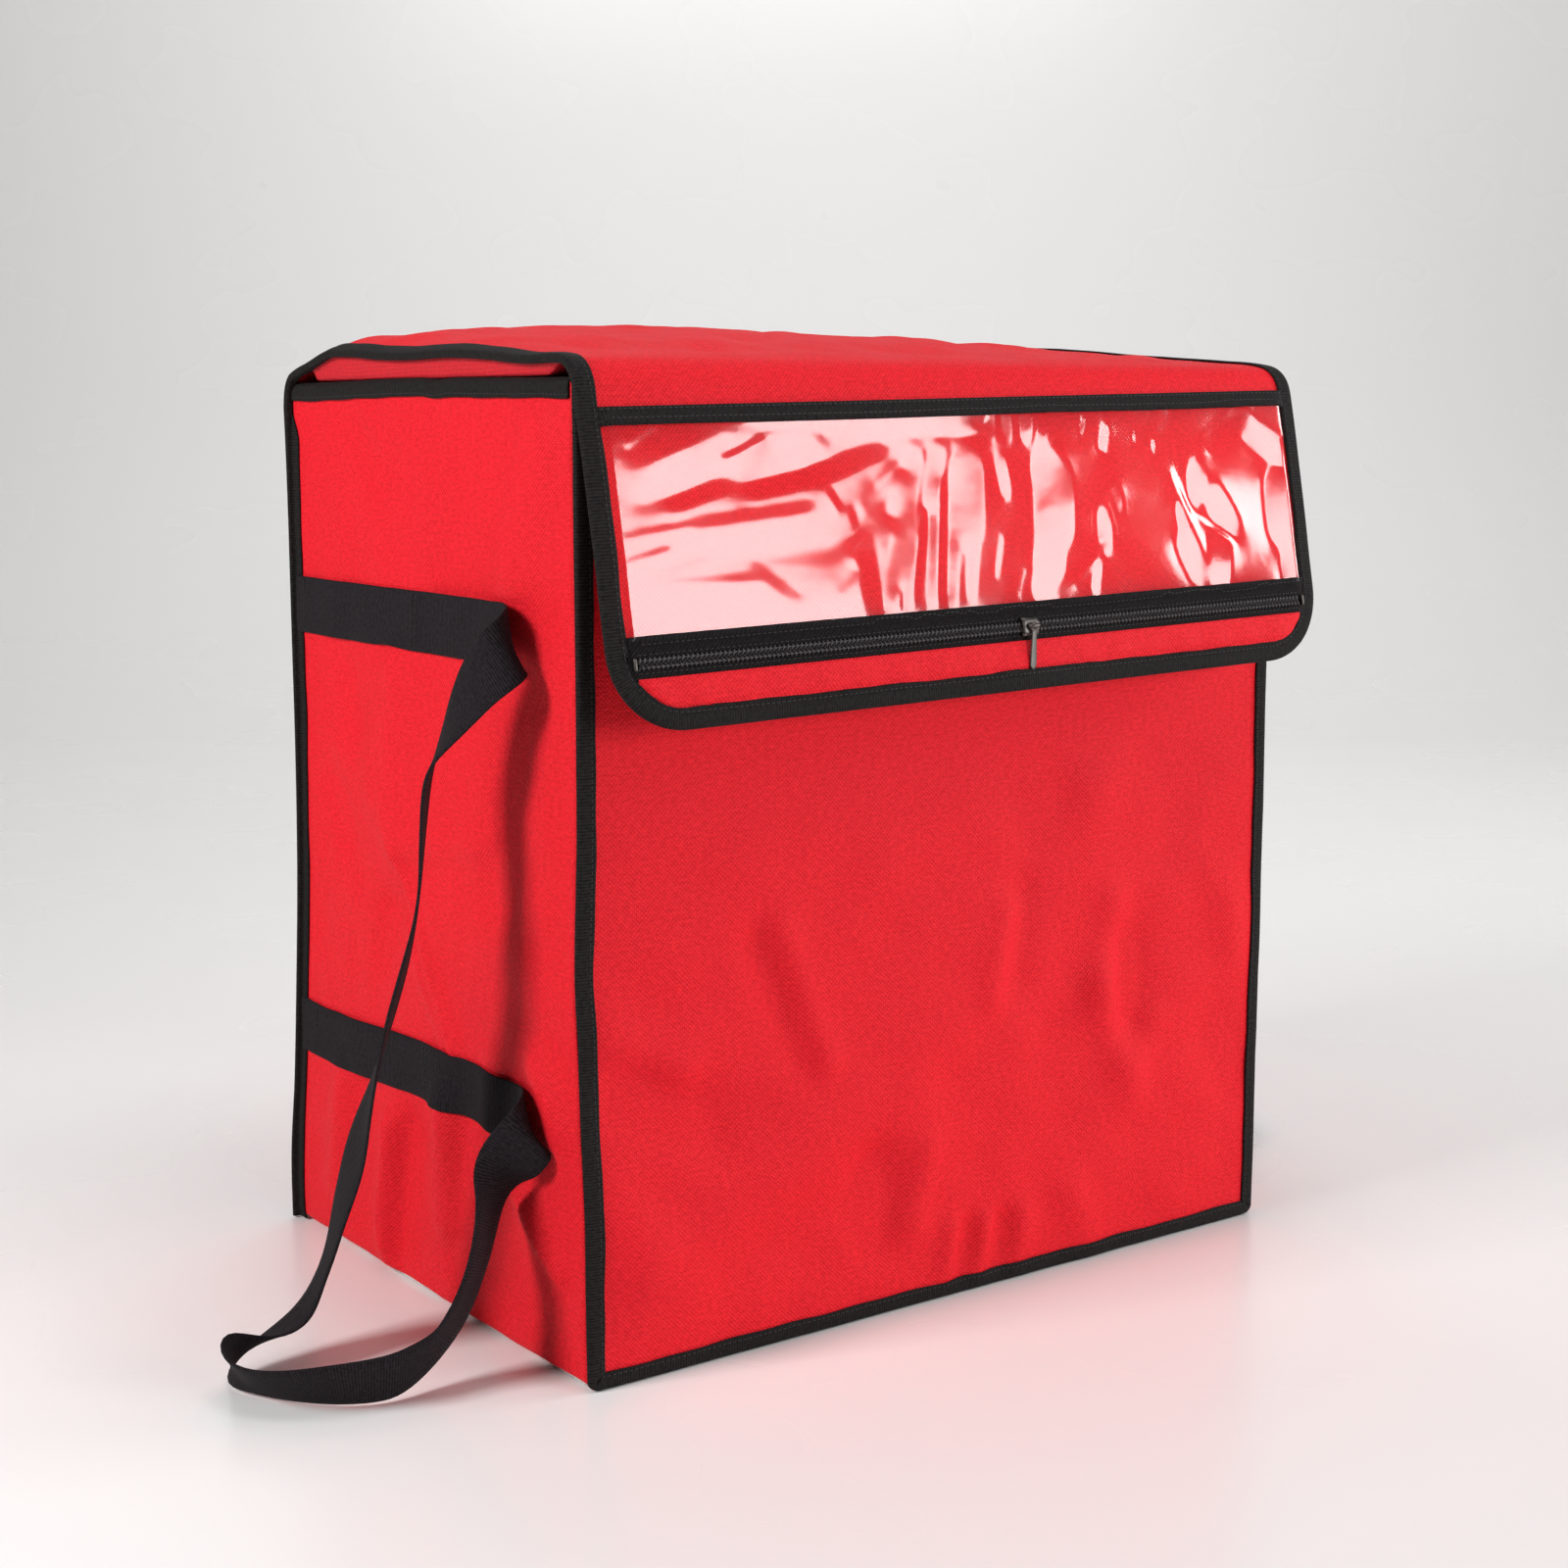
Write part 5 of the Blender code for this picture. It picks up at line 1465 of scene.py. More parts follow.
class BuildBodyBinding(bpy.types.Operator):
    """Bindings of the walls' cut edges"""

    bl_idname = "bag.body_binding"
    bl_label = "Wall bindings"

    def execute(self, context):
        sizes = context.scene.bag_sizes
        half_depth, half_width, width = sizes.depth / 2, sizes.width / 2, sizes.binding
        front_cloth, sides = ground_of("front_cloth"), ground_of("gusset_cloth")
        back_cloth = ground_of("back_cloth")
        step = BINDING_STEP
        seam, lift = width * SEAM_SHARE, GAP + sizes.binding_wall
        forward, backward, upward, downward = (
            np.array(way) for way in ((0.0, -1.0, 0.0), (0.0, 1.0, 0.0), (0.0, 0.0, 1.0), (0.0, 0.0, -1.0))
        )
        rows = []

        def body_run(name, node, rim, out, normal, section, seed, ground, share=1.0, turned=False):
            out, normal = np.broadcast_to(out, rim.shape), np.broadcast_to(normal, rim.shape)
            made = bound_edge(name, rim, out, normal, section, sizes, seed, ground, turned=turned)
            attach(made, "body")
            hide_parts(node)
            rows.append(stitch_row(rim, out, normal, seam * share, lift, sizes, ground))

        # The front panel's sides and foot, in one run that is a little narrower than the others
        share, inset, bend = 0.84, 0.6 * MM, 0.005
        x, z, out_x, out_z = strip_line(half_width - inset, inset, sizes.height, bend, step)
        rim = settled(stacked(x, -half_depth - front_swell(x, z, sizes), z), sizes)
        rim = rim + stacked(0.0, 0.0, BINDING_FOOT * np.maximum(-out_z, 0.0))
        section = fold_section(width * share, SHELL * 1.6, back=1.2 * MM)
        out = unit(stacked(out_x, 0.0, out_z))
        body_run("binding_front_run", "binding_front", rim, out, forward, section, 1.0, front_cloth, share)

        cloth = long_cloth(sizes, "back")
        for word, side in SIDES:
            edge, inner = (cloth[:, 0], cloth[:, 1]) if side < 0 else (cloth[:, -1], cloth[:, -2])
            line = respaced(np.concatenate([edge, inner], axis=1), step)
            rim, out, normal = edge_frames(line[:, :3], line[:, 3:])
            normal = -normal * side
            over = ease(rim[:, 2], sizes.height - 0.032, sizes.height - 0.010)[:, None, None]
            corner = fold_section(width, SHELL, overhang=(sizes.long_width - sizes.width) / 2 - 0.4 * MM)
            section = corner * (1 - over) + fold_section(width, SHELL * 2) * over
            name = f"binding_back_{word}_run"
            made = bound_edge(
                name,
                rim,
                out,
                normal,
                section,
                sizes,
                2.0 + side,
                back_cloth,
                turned=side > 0,
                wall_ground=sides,
            )
            over_hinge(made)
            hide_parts(f"binding_back_{word}")
            row = stitch_row(rim, out, normal, seam, lift, sizes, back_cloth)
            over_hinge(stitches(f"thread_back_{word}", [row]))

        half = half_width - 6.0 * MM
        x, z = lines_between(-half, half, step), 1.0 * MM
        rim = settled(stacked(x, half_depth + back_swell(x, z, sizes), z), sizes)
        section = fold_section(width, SHELL, back=1.0 * MM)
        name, node = "binding_back_foot", "binding_back_bottom"
        body_run(name, node, rim, downward, backward, section, 6.0, back_cloth, turned=True)

        # A side's rim waves by 0.8 mm, and dips by 1.2 mm just ahead of its middle
        share = 0.76
        for word, side in SIDES:
            y = lines_between(-half_depth + 3.5 * MM, half_depth - 2.5 * MM, step)
            dip = 1.2 * MM * np.exp(-(((y + 0.02) / 0.012) ** 2))
            z = sizes.height + 0.8 * MM * np.cos(y / 0.05) - dip
            rim = settled(stacked(side * (half_width + side_swell(y, z, sizes)), y, z), sizes)
            section = fold_section(width * share, WALL)
            name, node, normal = f"binding_{word}_rim", f"binding_{word}_top", np.array([side, 0.0, 0.0])
            body_run(name, node, rim, upward, normal, section, 7.0 + side, sides, share, side > 0)

        half = half_width - 0.8 * MM
        x, z = lines_between(-half, half, step), sizes.height
        rim = settled(stacked(x, -half_depth - front_swell(x, z, sizes), z), sizes)
        section, name, node = fold_section(width, WALL), "binding_front_rim", "binding_front_top"
        body_run(name, node, rim, upward, forward, section, 9.0, front_cloth, turned=True)
        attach(stitches("thread_walls", rows), "body")
        return {"FINISHED"}


class BuildLidFlapBinding(bpy.types.Operator):
    """One run of binding up the lid's edge, over the fold and round the flap"""

    bl_idname = "bag.lid_flap_binding"
    bl_label = "Lid and flap binding"

    def execute(self, context):
        sizes = context.scene.bag_sizes
        ground = ground_of(
            "lid_flap_cloth",
            "window_film",
            "window_top_tape",
            "zip_upper_tape",
            "zip_lower_tape",
            "pocket_strip_cloth",
        )
        cloth = long_cloth(sizes, "front")
        # Round a corner the tape's inner side points to the middle of the corner's arc
        inner_left, inner_right = cloth[:, 1].copy(), cloth[:, -2].copy()
        centre_x = sizes.long_width / 2 - sizes.flap_corner
        centre_down = sizes.flap_drop - sizes.flap_corner
        inner_left[-CORNER_ROWS:] = on_flap(-centre_x, 0.0, centre_down, sizes)
        inner_right[-CORNER_ROWS:] = on_flap(centre_x, 0.0, centre_down, sizes)
        above = on_flap(np.linspace(-centre_x, centre_x, cloth.shape[1]), 0.0, centre_down, sizes)
        left = np.concatenate([cloth[:, 0], inner_left], axis=1)
        right = np.concatenate([cloth[::-1, -1], inner_right[::-1]], axis=1)
        foot = np.concatenate([cloth[-1, 1:-1], above[1:-1]], axis=1)
        edge = respaced(np.concatenate([left, foot, right]), BINDING_STEP)
        rim, out, normal = edge_frames(edge[:, :3], edge[:, 3:])
        section = fold_section(sizes.binding, SHELL + GAP + LINING)
        made = bound_edge("binding_lid_flap", rim, out, normal, section, sizes, 3.0, ground)
        over_fold(made)
        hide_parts("lid_binding_left", "lid_binding_right", "flap_binding")
        lift = GAP + sizes.binding_wall
        row = stitch_row(rim, out, normal, sizes.binding * SEAM_SHARE, lift, sizes, ground)
        over_fold(stitches("thread_lid_flap", [row]))
        return {"FINISHED"}


def strap_route(side, lay_back):
    """The loose strap's middle and width way, through its stations by a smooth curve.

    A station lies ahead of the stitch line (y = -ahead), out from its side (x = side * out) and at a
    share of its leg's height.
    """
    places, leans = [], []
    cling = GAP + 0.8 * MM
    for shares, height in zip((FALL_SHARES, RISE_SHARES), LEG_HEIGHTS):
        for forward, out, up, lean_forward, lean_out, lean_up in shares:
            ahead = forward * STRAP_AHEAD - lay_back * (1.0 - up)
            places.append((side * (cling + out * STRAP_REACH), -ahead, up * height))
            leans.append((side * lean_out, -lean_forward, lean_up))
    places, leans = np.array(places), np.array(leans)
    s = running_length(places)
    at = lines_between(0.0, s[-1], STRAP_STEP)
    middle = np.stack([curve_through(at, s, places[:, k]) for k in range(3)], axis=1)
    lean = np.stack([curve_through(at, s, leans[:, k]) for k in range(3)], axis=1)
    for _ in range(6):
        middle[1:-1] = (middle[:-2] + 2 * middle[1:-1] + middle[2:]) / 4
        lean[1:-1] = (lean[:-2] + 2 * lean[1:-1] + lean[2:]) / 4
    return middle, lean


class BuildHandles(bpy.types.Operator):
    """Webbing handles: two stretches sewn to the side and the loose loop between them, in one piece"""

    bl_idname = "bag.handles"
    bl_label = "Handles"

    def execute(self, context):
        sizes = context.scene.bag_sizes
        half_width = sizes.width / 2
        wall, width = sizes.webbing_wall, sizes.webbing
        sides = ground_of("gusset_cloth")
        pivot_y, back_y = STRAP_PIVOT[1], sizes.depth / 2 - 0.004
        upright = np.array([[0.0, 0.0, 1.0]])
        # The webbing's cross-section: two flat faces, thinner at both selvedges
        u = np.array([-1.0, -0.96, -0.6, -0.2, 0.2, 0.6, 0.96, 1.0]) * width / 2
        thick = np.array([0.25, 0.48, 0.5, 0.5, 0.5, 0.5, 0.48, 0.25]) * wall
        section = np.concatenate([np.stack([u, thick], 1), np.stack([u[::-1], -thick[::-1]], 1)])
        seams = []
        for word, side in SIDES:
            middle, lean = strap_route(side, 0.0 if side < 0 else RIGHT_LAY_BACK)
            if side > 0:
                middle = middle * np.array(RIGHT_DRAWN_IN)
            middle = middle + np.array([side * half_width, pivot_y, 0.0])
            legs = []
            for height, drop in zip(LEG_HEIGHTS, LEG_DROPS):
                y = lines_between(back_y, pivot_y, STRAP_STEP)[:-1]
                z = height + drop * ease(y, -0.02, 0.14)
                out = half_width + side_swell(y, z, sizes) + GAP + wall / 2
                leg = settled(stacked(side * out, y, z), sizes)
                legs.append(leg[leg[:, 1] > pivot_y + PIVOT_SEAMS[0]])
            near = side_swell(middle[:, 1], middle[:, 2], sizes) * side
            close = 1.0 - ease(np.abs(middle[:, 0]) - half_width, 0.001, 0.02)
            middle = middle + stacked(near * close, 0.0, 0.0)
            path = np.concatenate([legs[0], middle, legs[1][::-1]])
            first, last = (np.repeat(upright, len(leg), axis=0) for leg in legs)
            along = unit(np.gradient(path, axis=0))
            across = square_to(np.concatenate([-first, lean, last]), along)
            face = np.cross(along, across)
            low = path[:, 2] - np.abs(across[:, 2]) * width / 2 - wall
            path = path + stacked(0.0, 0.0, np.maximum(0.5 * MM - low, 0.0))
            points = swept(path, across, face, section[None])
            clear = GAP + wall / 2 + side * section[None, :, 1]
            for _ in range(3):
                points[1:-1] = (points[:-2] + 2 * points[1:-1] + points[2:]) / 4
                points = rested(points, sides, clear)
            cloth = swept_cloth(path, np.concatenate([section, section[:1]]))
            made = rod_piece(f"webbing_{word}", [(points, cloth)], "black_webbing", turned=True)
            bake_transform(made)
            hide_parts(f"strap_leg_{word}_upper", f"strap_leg_{word}_lower", f"handle_{word}")
            webbing = ground_of(f"webbing_{word}")
            for height in LEG_HEIGHTS:
                z = lines_between(height - SEAM_HALF, height + SEAM_HALF, 0.002)
                for y in (pivot_y + PIVOT_SEAMS[0], pivot_y + PIVOT_SEAMS[1], BACK_SEAM_Y):
                    line = laid(stacked(side * (half_width + 0.012), y, z), webbing, 0.3 * MM)
                    normal = np.broadcast_to([side, 0.0, 0.0], line.shape)
                    seams.append(stitch_row(line, 0 * line, normal, 0.0, 0.0, sizes))
        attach(stitches("thread_webbing", seams), "body")
        return {"FINISHED"}


def pocket_grid(top, bottom, lift, sizes, step_x, step_down, swell=None):
    """Rows across the flap between two drops, within its side bindings, at a lift off the cloth."""
    inset = sizes.binding - 1.0 * MM
    down = lines_between(top, bottom, step_down)[:, None]
    half = flap_half(down, sizes, inset)
    across = lines_between(-1.0, 1.0, step_x / (sizes.long_width / 2))[None]
    x = across * half
    down = down + 0 * x
    settling = ease(half - np.abs(x), 0.0, 0.006)
    settling = settling * (1.0 - ease(down, sizes.flap_drop - 0.0125, sizes.flap_drop - 0.0085))
    out = flap_swell(x, down) + END_LIFT + (lift - END_LIFT) * settling
    if swell is not None:
        out = out + swell(x, down) * settling
    cloth = np.stack([x, down], axis=-1)
    return on_flap(x, out, down, sizes), cloth


def film_height(x, down):
    """Height of the crumpled film: the smooth sheet whose slopes come nearest to its strokes' leans.

    Each stroke asks for a slope square to its own line, to the lamp's side and down. With G the asked
    slopes, the height h solves laplacian h = divergence G with h nought along the edges: a sine series,
    each term -D / |k|^2.
    """
    slope_x, slope_d = np.zeros(x.shape), np.zeros(x.shape)
    firm = 0.08 + 0.20 * ease(x, -0.09, 0.13)
    for x0, d0, x1, d1, reach, lean in FILM_STROKES:
        away = gap_to_line(x, down, x0 * MM, d0 * MM, x1 * MM, d1 * MM)
        mask = 1.0 - ease(away, reach * MM * 0.75, reach * MM * 1.2)
        run = math.hypot(x1 - x0, d1 - d0)
        across = (abs(d1 - d0) / run, -abs(x1 - x0) / run)
        slope_x = slope_x * (1 - mask) + lean * firm * across[0] * mask
        slope_d = slope_d * (1 - mask) + lean * firm * across[1] * mask
    step_x, step_d = x[0, 1] - x[0, 0], down[1, 0] - down[0, 0]
    spread = np.gradient(slope_x, step_x, axis=1) + np.gradient(slope_d, step_d, axis=0)
    inner = spread[1:-1, 1:-1]
    odd = np.zeros((2 * (inner.shape[0] + 1), 2 * (inner.shape[1] + 1)))
    rows, columns = inner.shape
    odd[1 : rows + 1, 1 : columns + 1] = inner
    odd[rows + 2 :, 1 : columns + 1] = -inner[::-1]
    odd[1 : rows + 1, columns + 2 :] = -inner[:, ::-1]
    odd[rows + 2 :, columns + 2 :] = inner[::-1, ::-1]
    kd = 2 * math.pi * np.fft.fftfreq(odd.shape[0], step_d)[:, None]
    kx = 2 * math.pi * np.fft.fftfreq(odd.shape[1], step_x)[None]
    square = kx**2 + kd**2
    square[0, 0] = 1.0
    height = np.real(np.fft.ifft2(-np.fft.fft2(odd) / square))[: rows + 2, : columns + 2]
    held = ease(down - down.min(), 0.001, 0.009) * ease(down.max() - down, 0.0046, 0.0089)
    held = held * ease(x - x.min(), 0.0030, 0.0058) * ease(x.max() - x, 0.0030, 0.0090)
    return 0.3 * MM + held * np.clip(height + FILM_REST, 0.0, FILM_MOST)


class BuildWindow(bpy.types.Operator):
    """Window pocket: clear film, its top tape and the strip of cloth under the zip"""

    bl_idname = "bag.window"
    bl_label = "Window pocket"

    def execute(self, context):
        sizes = context.scene.bag_sizes
        top = sizes.window_top
        film_foot = sizes.zip_line - GAP - 2.6 * MM
        half = sizes.long_width / 2 - sizes.binding + 3.5 * MM
        x = lines_between(-half, half, sizes.film_step)
        down = lines_between(top, film_foot, sizes.film_step)[:, None]
        x, down = np.broadcast_arrays(x, down)
        out = flap_swell(x, down) + GAP + film_height(x, down)
        points, cloth = on_flap(x, out, down, sizes), np.stack([x, down], axis=-1)
        film = sheet_piece("window_film", points, cloth, "clear_pvc_sheet", turned=True)
        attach(film, "flap")
        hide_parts("window_sheet")

        def crowned(across, drop):
            return 0.5 * MM * np.sin(np.clip((drop - top) / TOP_TAPE_WIDTH, 0, 1) * math.pi)

        def rippled(across, drop):
            ripple = 0.4 * MM * np.sin(across / 0.004) * ease(drop, STRIP_TOP + 0.002, STRIP_TOP + 0.008)
            return ripple + 0.4 * MM * waver(across, 2.0)

        tape, cloth = pocket_grid(top, top + TOP_TAPE_WIDTH, 0.0021, sizes, 0.004, 0.0019, crowned)
        tape, cloth = rested(tape, ground_of("window_film"), 1.2 * MM), cloth[..., ::-1]
        made = sheet_piece("window_top_tape", tape, cloth, "black_binding_tape", True, POCKET_WALL)
        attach(made, "flap")
        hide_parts("window_tape")
        drop = sizes.flap_drop - sizes.binding + 2.0 * MM
        strip, cloth = pocket_grid(STRIP_TOP, drop, 0.0027, sizes, 0.003, 0.002, rippled)
        made = sheet_piece("pocket_strip_cloth", strip, cloth, "red_coated_polyester", True, POCKET_WALL)
        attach(made, "flap")
        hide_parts("pocket_strip")
        on_tape = ground_of("window_top_tape")
        rows = [flap_row(top + seam, sizes, on_tape) for seam in (1.6 * MM, 8.0 * MM)]
        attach(stitches("thread_window", rows), "flap")
        return {"FINISHED"}


def flap_row(down, sizes, ground, half=None):
    """A row of stitches across the flap at a drop, on the cloth there."""
    half = half or sizes.long_width / 2 - sizes.binding
    x = lines_between(-half, half, 0.003)
    line = rested(on_flap(x, 0 * x, down, sizes), ground, 0.0001)
    face = on_flap(0.0, 1.0, 0.0, sizes) - on_flap(0.0, 0.0, 0.0, sizes)
    normal = np.broadcast_to(unit(face), line.shape)
    return stitch_row(line, 0 * line, normal, 0.0, 0.0, sizes)


class BuildZip(bpy.types.Operator):
    """Zip: two woven tapes, two wound coils and the end stops"""

    bl_idname = "bag.zip"
    bl_label = "Zip"

    def execute(self, context):
        sizes = context.scene.bag_sizes
        line = sizes.zip_line
        on_film = ground_of("window_film")
        split = 0.05 * MM
        for word, top in (("upper", line - split - ZIP_TAPE_WIDTH), ("lower", line + split)):
            tape, cloth = pocket_grid(top, top + ZIP_TAPE_WIDTH, 0.0017, sizes, 0.004, 0.0013)
            tape = rested(tape, on_film, 0.8 * MM)
            made = sheet_piece(f"zip_{word}_tape", tape, cloth, "black_zip_tape", True, ZIP_TAPE_WALL)
            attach(made, "flap")
            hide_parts(f"zip_tape_{word}")
        low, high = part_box("zip_coil_upper")
        half = (high[0] - low[0]) / 2
        for word, side in (("upper", -1.0), ("lower", 1.0)):
            turns = int(2 * half / sizes.coil_pitch)
            t = np.arange(turns * 10 + 1) / 10
            x = -half + t * sizes.coil_pitch
            angle = 2 * math.pi * (t + (0.5 if side > 0 else 0.0))
            down = line + side * (COIL_APART - COIL_HALF_WIDTH * np.cos(angle))
            path = on_flap(x, COIL_LIFT + COIL_HALF_HEIGHT * np.sin(angle), down, sizes)
            centre = on_flap(x, COIL_LIFT, line + side * COIL_APART, sizes)
            run = round_run(path, path - centre, COIL_WIRE, 5)
            # The cord that runs inside the coil
            along = x[::40]
            cord = on_flap(along, COIL_LIFT, line + side * 1.8 * MM + 0 * along, sizes)
            core = round_run(cord, np.tile([0.0, 0.0, 1.0], (len(cord), 1)), 0.4 * MM, 6)
            made = rod_piece(f"zip_{word}_coil", [run, core], "black_nylon_coil")
            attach(made, "flap")
            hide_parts(f"zip_coil_{word}")
        rows = [
            flap_row(line + side * drop, sizes, ground_of(f"zip_{word}_tape"), half)
            for word, side, drop in (("upper", -1.0, 0.0044), ("upper", -1.0, 0.0120), ("lower", 1.0, 0.0044))
        ]
        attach(stitches("thread_zip", rows), "flap")
        for word, _ in SIDES:
            made = zip_stop(word, sizes)
            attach(made, "flap")
            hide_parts(f"zip_stop_{word}")
        return {"FINISHED"}


def zip_stop(word, sizes):
    """A pressed staple over both coils: a rounded block lofted through eased outlines."""
    low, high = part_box(f"zip_stop_{word}")
    # The flap's turn in its own plane puts the zip line's x this much left of the box's middle
    middle = (low[0] + high[0]) / 2 - 3.0 * MM
    across, along = squared_round(around_once(24), 0.4)
    levels = []
    for out, ease_in in ((0.0018, 0.0), (0.0028, 0.0), (0.0033, 0.0002), (0.0035, 0.0007)):
        x = middle + across * (0.0009 - ease_in)
        down = sizes.zip_line + along * (0.0030 - ease_in)
        levels.append(on_flap(x, out, down, sizes))
    made = rod_piece(f"zip_{word}_stop", [loft_run(np.stack(levels))], "nickel_plated_zinc")
    whole(made)
    return made


class BuildSlider(bpy.types.Operator):
    """Zip slider and its pull, die cast and plated"""

    bl_idname = "bag.slider"
    bl_label = "Slider and pull"

    def execute(self, context):
        sizes = context.scene.bag_sizes
        rest_x = float(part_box("zip_slider")[0][0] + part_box("zip_slider")[1][0]) / 2 - 0.0031
        line = sizes.zip_line

        def local(x, out, down):
            return on_flap(rest_x + x, out, line + down, sizes)

        # The slider's top plate, narrower at its nose and eased in at its upper edge
        turn = around_once(40)
        along, wide = squared_round(turn, 0.55)
        along, wide = along * 0.0056, wide * (0.0039 - 0.0007 * np.cos(turn))
        outs = (0.0039, 0.0040, 0.0046, 0.0050, 0.0052, 0.0053)
        scales = (0.97, 1.0, 1.0, 0.95, 0.82, 0.5)
        levels = [local(along * k, out, wide * k) for out, k in zip(outs, scales)]
        runs = [loft_run(np.stack(levels))]
        for side in (-1.0, 1.0):
            x = np.linspace(-0.0054, 0.0054, 9)
            path = local(x, 0.0031, side * (0.0036 - 0.0005 * x / 0.0054))
            normal = local(x, 1.0, 0.0) - local(x, 0.0, 0.0)
            runs.append(round_run(path, normal, 0.0011, 8))
        t = np.linspace(-1.0, 1.0, 25)
        bail = local(0.0030 * t, 0.0050 + 0.0038 * np.sqrt(np.maximum(1 - t**4, 0.0)), 0.0)
        across = np.tile(unit(local(0, 0, 1.0) - local(0, 0, 0.0)), (len(t), 1))
        runs.append(round_run(bail, across, 0.0008, 8, flat=1.5))
        slider = rod_piece("slider_casting", runs, "nickel_plated_zinc")
        whole(slider)
        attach(slider, "slider")
        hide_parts("zip_slider")
        low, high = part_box("zip_pull")
        pivot = PULL_PIVOT
        tip = np.array([pivot[0], (low[1] + high[1]) / 2 + 0.0006, low[2] + 0.0008])
        hang = unit(tip - pivot)
        right = unit(ZIP_DIRECTION)
        face = np.cross(hang, right)
        face = face if face[1] < 0 else -face
        length = float(np.linalg.norm(tip - pivot))
        turn = around_once(32)[:, None]
        ring_path = pivot + 0.4 * MM * hang + 2.1 * MM * (np.cos(turn) * hang + np.sin(turn) * right)
        runs = [closed_ring(ring_path, face, 0.0007, 8)]
        s = np.linspace(0.0022, length, 18)
        half = 0.0019 - 0.0003 * np.cos((s - s[0]) / (s[-1] - s[0]) * math.pi)
        half = half * np.sqrt(np.clip((s[-1] - s) / 0.0022, 0.0, 1.0) ** 0.8)
        half = np.maximum(half, 0.0004)
        wide, thick = squared_round(around_once(16), 0.5)
        wide = (half[:, None] * wide)[..., None] * right
        thick = (thick * 0.55 * MM)[:, None] * face
        runs.append(loft_run(pivot + s[:, None, None] * hang + wide + thick))
        pull = rod_piece("pull_casting", runs, "nickel_plated_zinc")
        whole(pull)
        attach(pull, "pull")
        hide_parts("zip_pull")
        return {"FINISHED"}


class BuildClosure(bpy.types.Operator):
    """Hook tape behind the flap and loop tape on the front"""

    bl_idname = "bag.closure"
    bl_label = "Hook and loop"

    def execute(self, context):
        sizes = context.scene.bag_sizes
        slot, lift = "black_hook_and_loop", HOOK_WALL + 0.1 * MM
        step_x, step_down = 0.004, 0.0035
        low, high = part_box("loop_tape")
        x = lines_between(low[0], high[0], step_x)
        z = lines_between(low[2], high[2], step_down)[:, None]
        points = settled(stacked(x, -sizes.depth / 2 - front_swell(x, z, sizes) - lift, z), sizes)
        loop = sheet_piece("loop_tape_pile", points, cloth_of(points), slot, wall=HOOK_WALL)
        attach(loop, "body")
        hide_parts("loop_tape")
        down = lines_between(*HOOK_DROPS, step_down)[:, None]
        x = lines_between(-HOOK_HALF, HOOK_HALF, step_x)
        x, down = np.broadcast_arrays(x, down)
        out = flap_swell(x, down) - SHELL - 2 * GAP - LINING - lift
        points, cloth = on_flap(x, out, down, sizes), np.stack([x, down], axis=-1)
        hook = sheet_piece("hook_tape_hooks", points, cloth, slot, wall=HOOK_WALL)
        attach(hook, "flap")
        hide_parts("hook_tape")
        return {"FINISHED"}


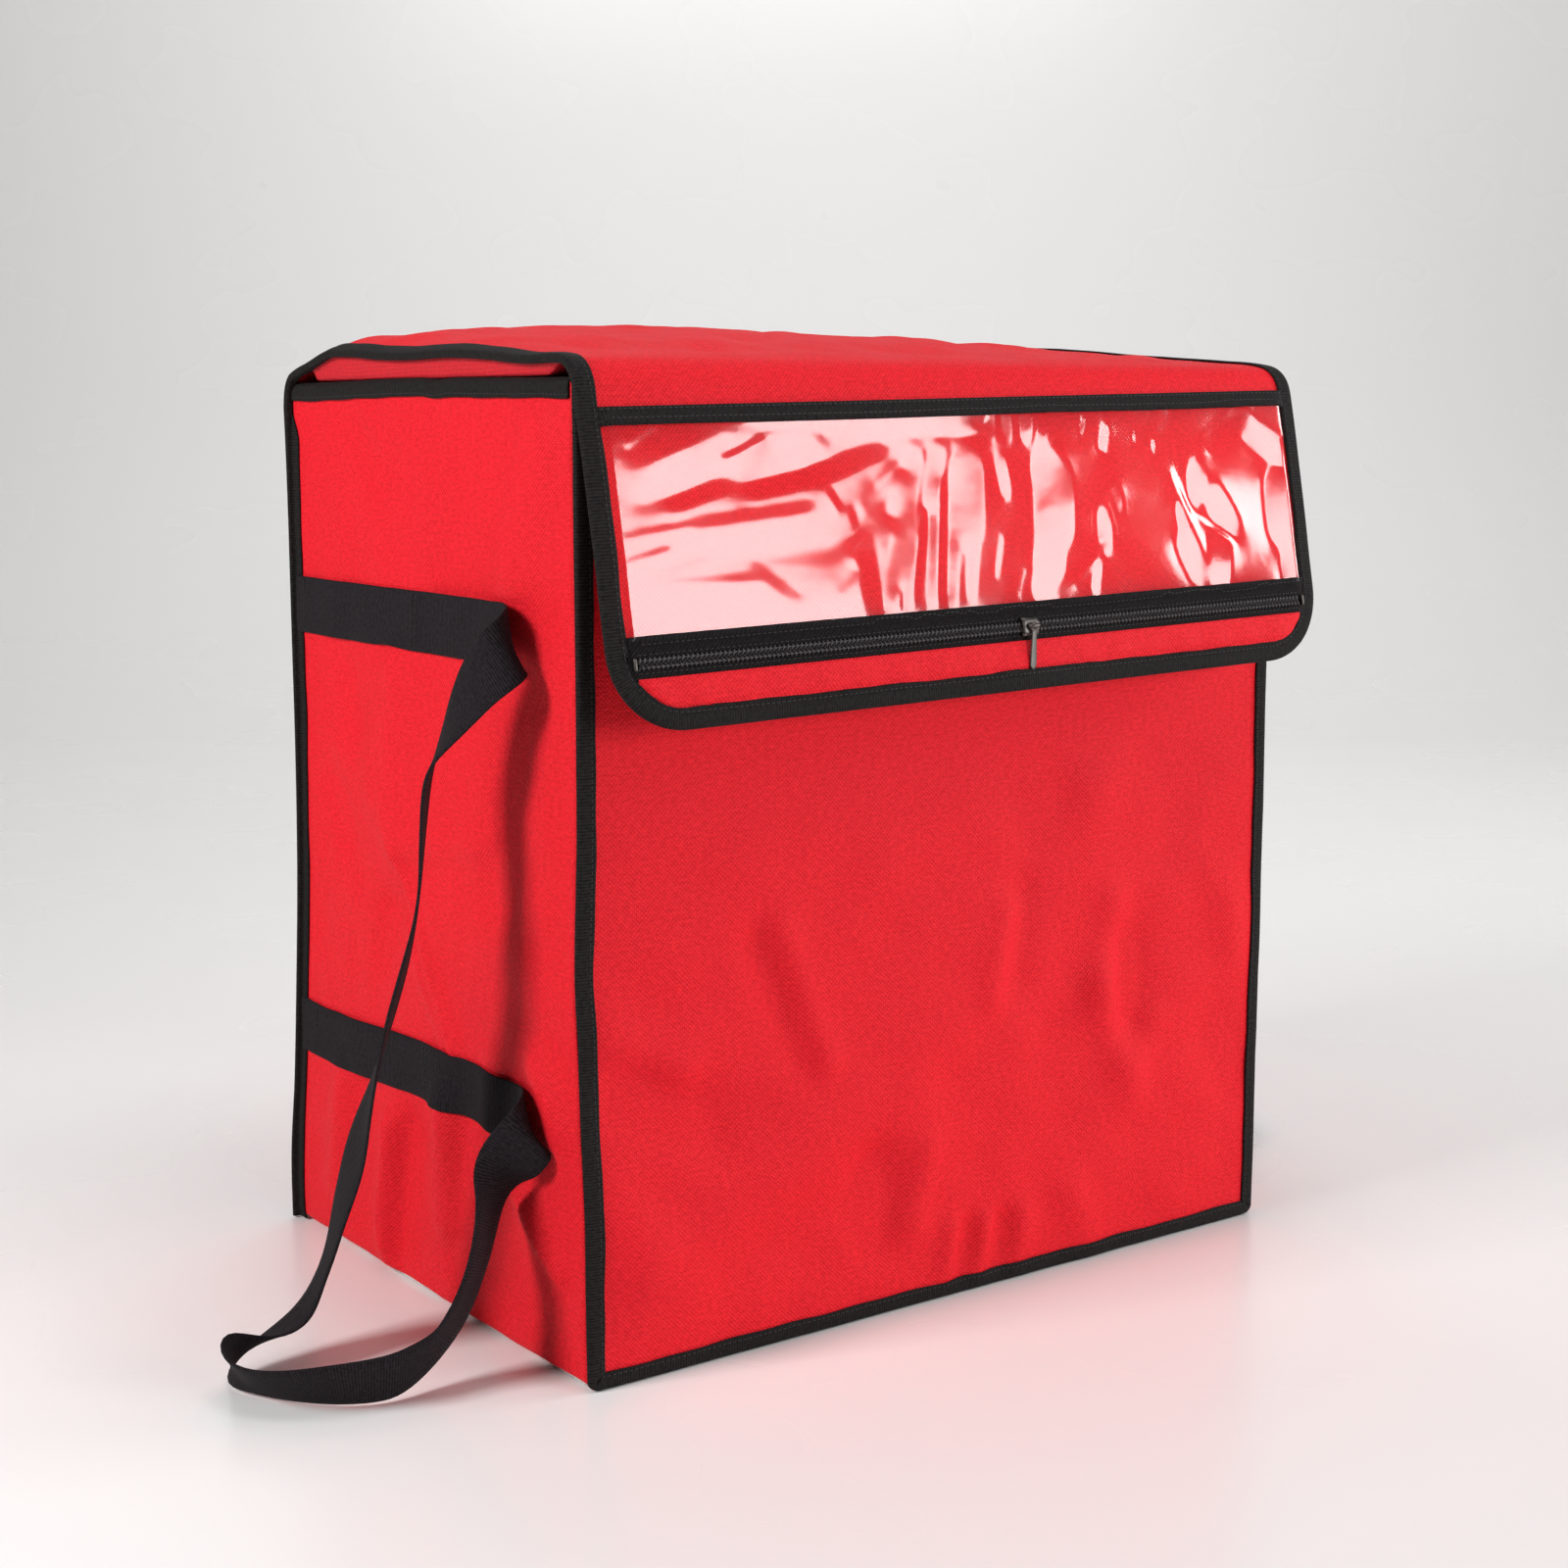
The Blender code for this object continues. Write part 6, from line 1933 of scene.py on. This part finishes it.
class BuildStage(bpy.types.Operator):
    """Pale floor and backdrop, lamps and camera"""

    bl_idname = "bag.stage"
    bl_label = "Stage"

    def execute(self, context):
        scene = context.scene
        scene.view_settings.view_transform = "Standard"
        colours = scene.bag_colours
        made, tree, shader = new_finish("stage_board")
        place = add(tree, "ShaderNodeTexCoord").outputs["Object"]
        coarse = {"Scale": 3.0, "Detail": 2.0}
        clouds = add(tree, "ShaderNodeTexNoise", values=coarse, links={"Vector": place}).outputs["Fac"]
        gloss = add(tree, "ShaderNodeMapRange", values={3: 0.22, 4: 0.32}, links={0: clouds}).outputs[0]
        tree.links.new(gloss, shader.inputs["Roughness"])
        shader.inputs["Base Color"].default_value = rgba(colours.floor)
        shader.inputs["Specular IOR Level"].default_value = 0.35
        # Floor, quarter circle and backdrop in one sweep, square to the camera's way
        turn = np.linspace(0.0, math.pi / 2, 25)[1:]
        wall_at = SWEEP_BEHIND + SWEEP_RADIUS
        near = np.stack([np.linspace(-6.0, SWEEP_BEHIND, 12), np.zeros(12)], axis=1)
        bend = SWEEP_RADIUS * np.stack([np.sin(turn), 1.0 - np.cos(turn)], axis=1) + [SWEEP_BEHIND, 0.0]
        rise = np.stack([np.full(6, wall_at), np.linspace(SWEEP_RADIUS, SWEEP_TOP, 6)], axis=1)[1:]
        profile = np.concatenate([near, bend, rise])
        side = np.linspace(-9.0, 9.0, 10)
        back, up = profile[:, :1], profile[:, 1:]
        sine, cosine = math.sin(CAMERA_TURN), math.cos(CAMERA_TURN)
        points = stacked(back * sine + side * cosine, back * cosine - side * sine, up)
        quads, flat = quads_of(*points.shape[:2], False, False)
        cloth = np.stack(np.broadcast_arrays(side, back), axis=-1).reshape(-1, 2)[flat.ravel()]
        floor = piece_from("stage_sweep", points, quads.tolist(), cloth, "insulation_foam", made)
        del floor["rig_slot"]
        world = bpy.data.worlds.new("studio")
        world.use_nodes = True
        scene.world = world
        sky = world.node_tree.nodes["Background"].inputs
        sky["Color"].default_value = (*linear("F2F4F6"), 1.0)
        sky["Strength"].default_value = WORLD_STRENGTH
        for row in LAMPS:
            lamp(*row)
        camera = bpy.data.cameras.new("camera")
        camera.lens = CAMERA_LENS
        camera.sensor_width = 36.0
        view = bpy.data.objects.new("camera", camera)
        view.location = CAMERA_PLACE
        view.rotation_euler = (math.pi / 2 - CAMERA_DROP, 0.0, -CAMERA_TURN)
        scene.collection.objects.link(view)
        scene.camera = view
        return {"FINISHED"}


def lamp(name, place, aim, width, height, watts):
    """A rectangular softbox at a place, turned to its aim."""
    data = bpy.data.lights.new(name, "AREA")
    data.shape = "RECTANGLE"
    data.size, data.size_y = width, height
    data.energy = watts
    made = bpy.data.objects.new(name, data)
    made.location = place
    way = np.array(aim) - np.array(place)
    yaw = math.atan2(-way[0], way[1])
    made.rotation_euler = (math.atan2(math.hypot(way[0], way[1]), -way[2]), 0.0, yaw)
    bpy.context.scene.collection.objects.link(made)
    return made


class BagPanel(bpy.types.Panel):
    """Lists the bag's pieces, sizes and colours"""

    bl_idname = "VIEW3D_PT_delivery_bag"
    bl_label = "Delivery bag"
    bl_space_type = "VIEW_3D"
    bl_region_type = "UI"
    bl_category = "Delivery bag"

    def draw(self, context):
        for builder in BUILDERS:
            self.layout.operator(builder.bl_idname)
        for group in (context.scene.bag_sizes, context.scene.bag_colours):
            box = self.layout.box()
            for name in group.__annotations__:
                box.prop(group, name)


BUILDERS = (
    BuildGusset,
    BuildFront,
    BuildBack,
    BuildLidFlap,
    BuildLining,
    BuildFoam,
    BuildBodyBinding,
    BuildWindow,
    BuildZip,
    BuildLidFlapBinding,
    BuildHandles,
    BuildSlider,
    BuildClosure,
    BuildStage,
)
CLASSES = (BagSizes, BagColours, *BUILDERS, BagPanel)


def register():
    for kind in CLASSES:
        bpy.utils.register_class(kind)
    bpy.types.Scene.bag_sizes = bpy.props.PointerProperty(type=BagSizes)
    bpy.types.Scene.bag_colours = bpy.props.PointerProperty(type=BagColours)


def unregister():
    del bpy.types.Scene.bag_colours
    del bpy.types.Scene.bag_sizes
    for kind in reversed(CLASSES):
        bpy.utils.unregister_class(kind)


def main():
    register()
    for builder in BUILDERS:
        group, name = builder.bl_idname.split(".")
        getattr(getattr(bpy.ops, group), name)()
    for part in frame["record"]["subparts"]:
        node = frame["nodes"][part["node"]]
        node.data.materials.clear()
        node.data.materials.append(finish(part["material_slot"]))


if __name__ == "__main__":
    main()
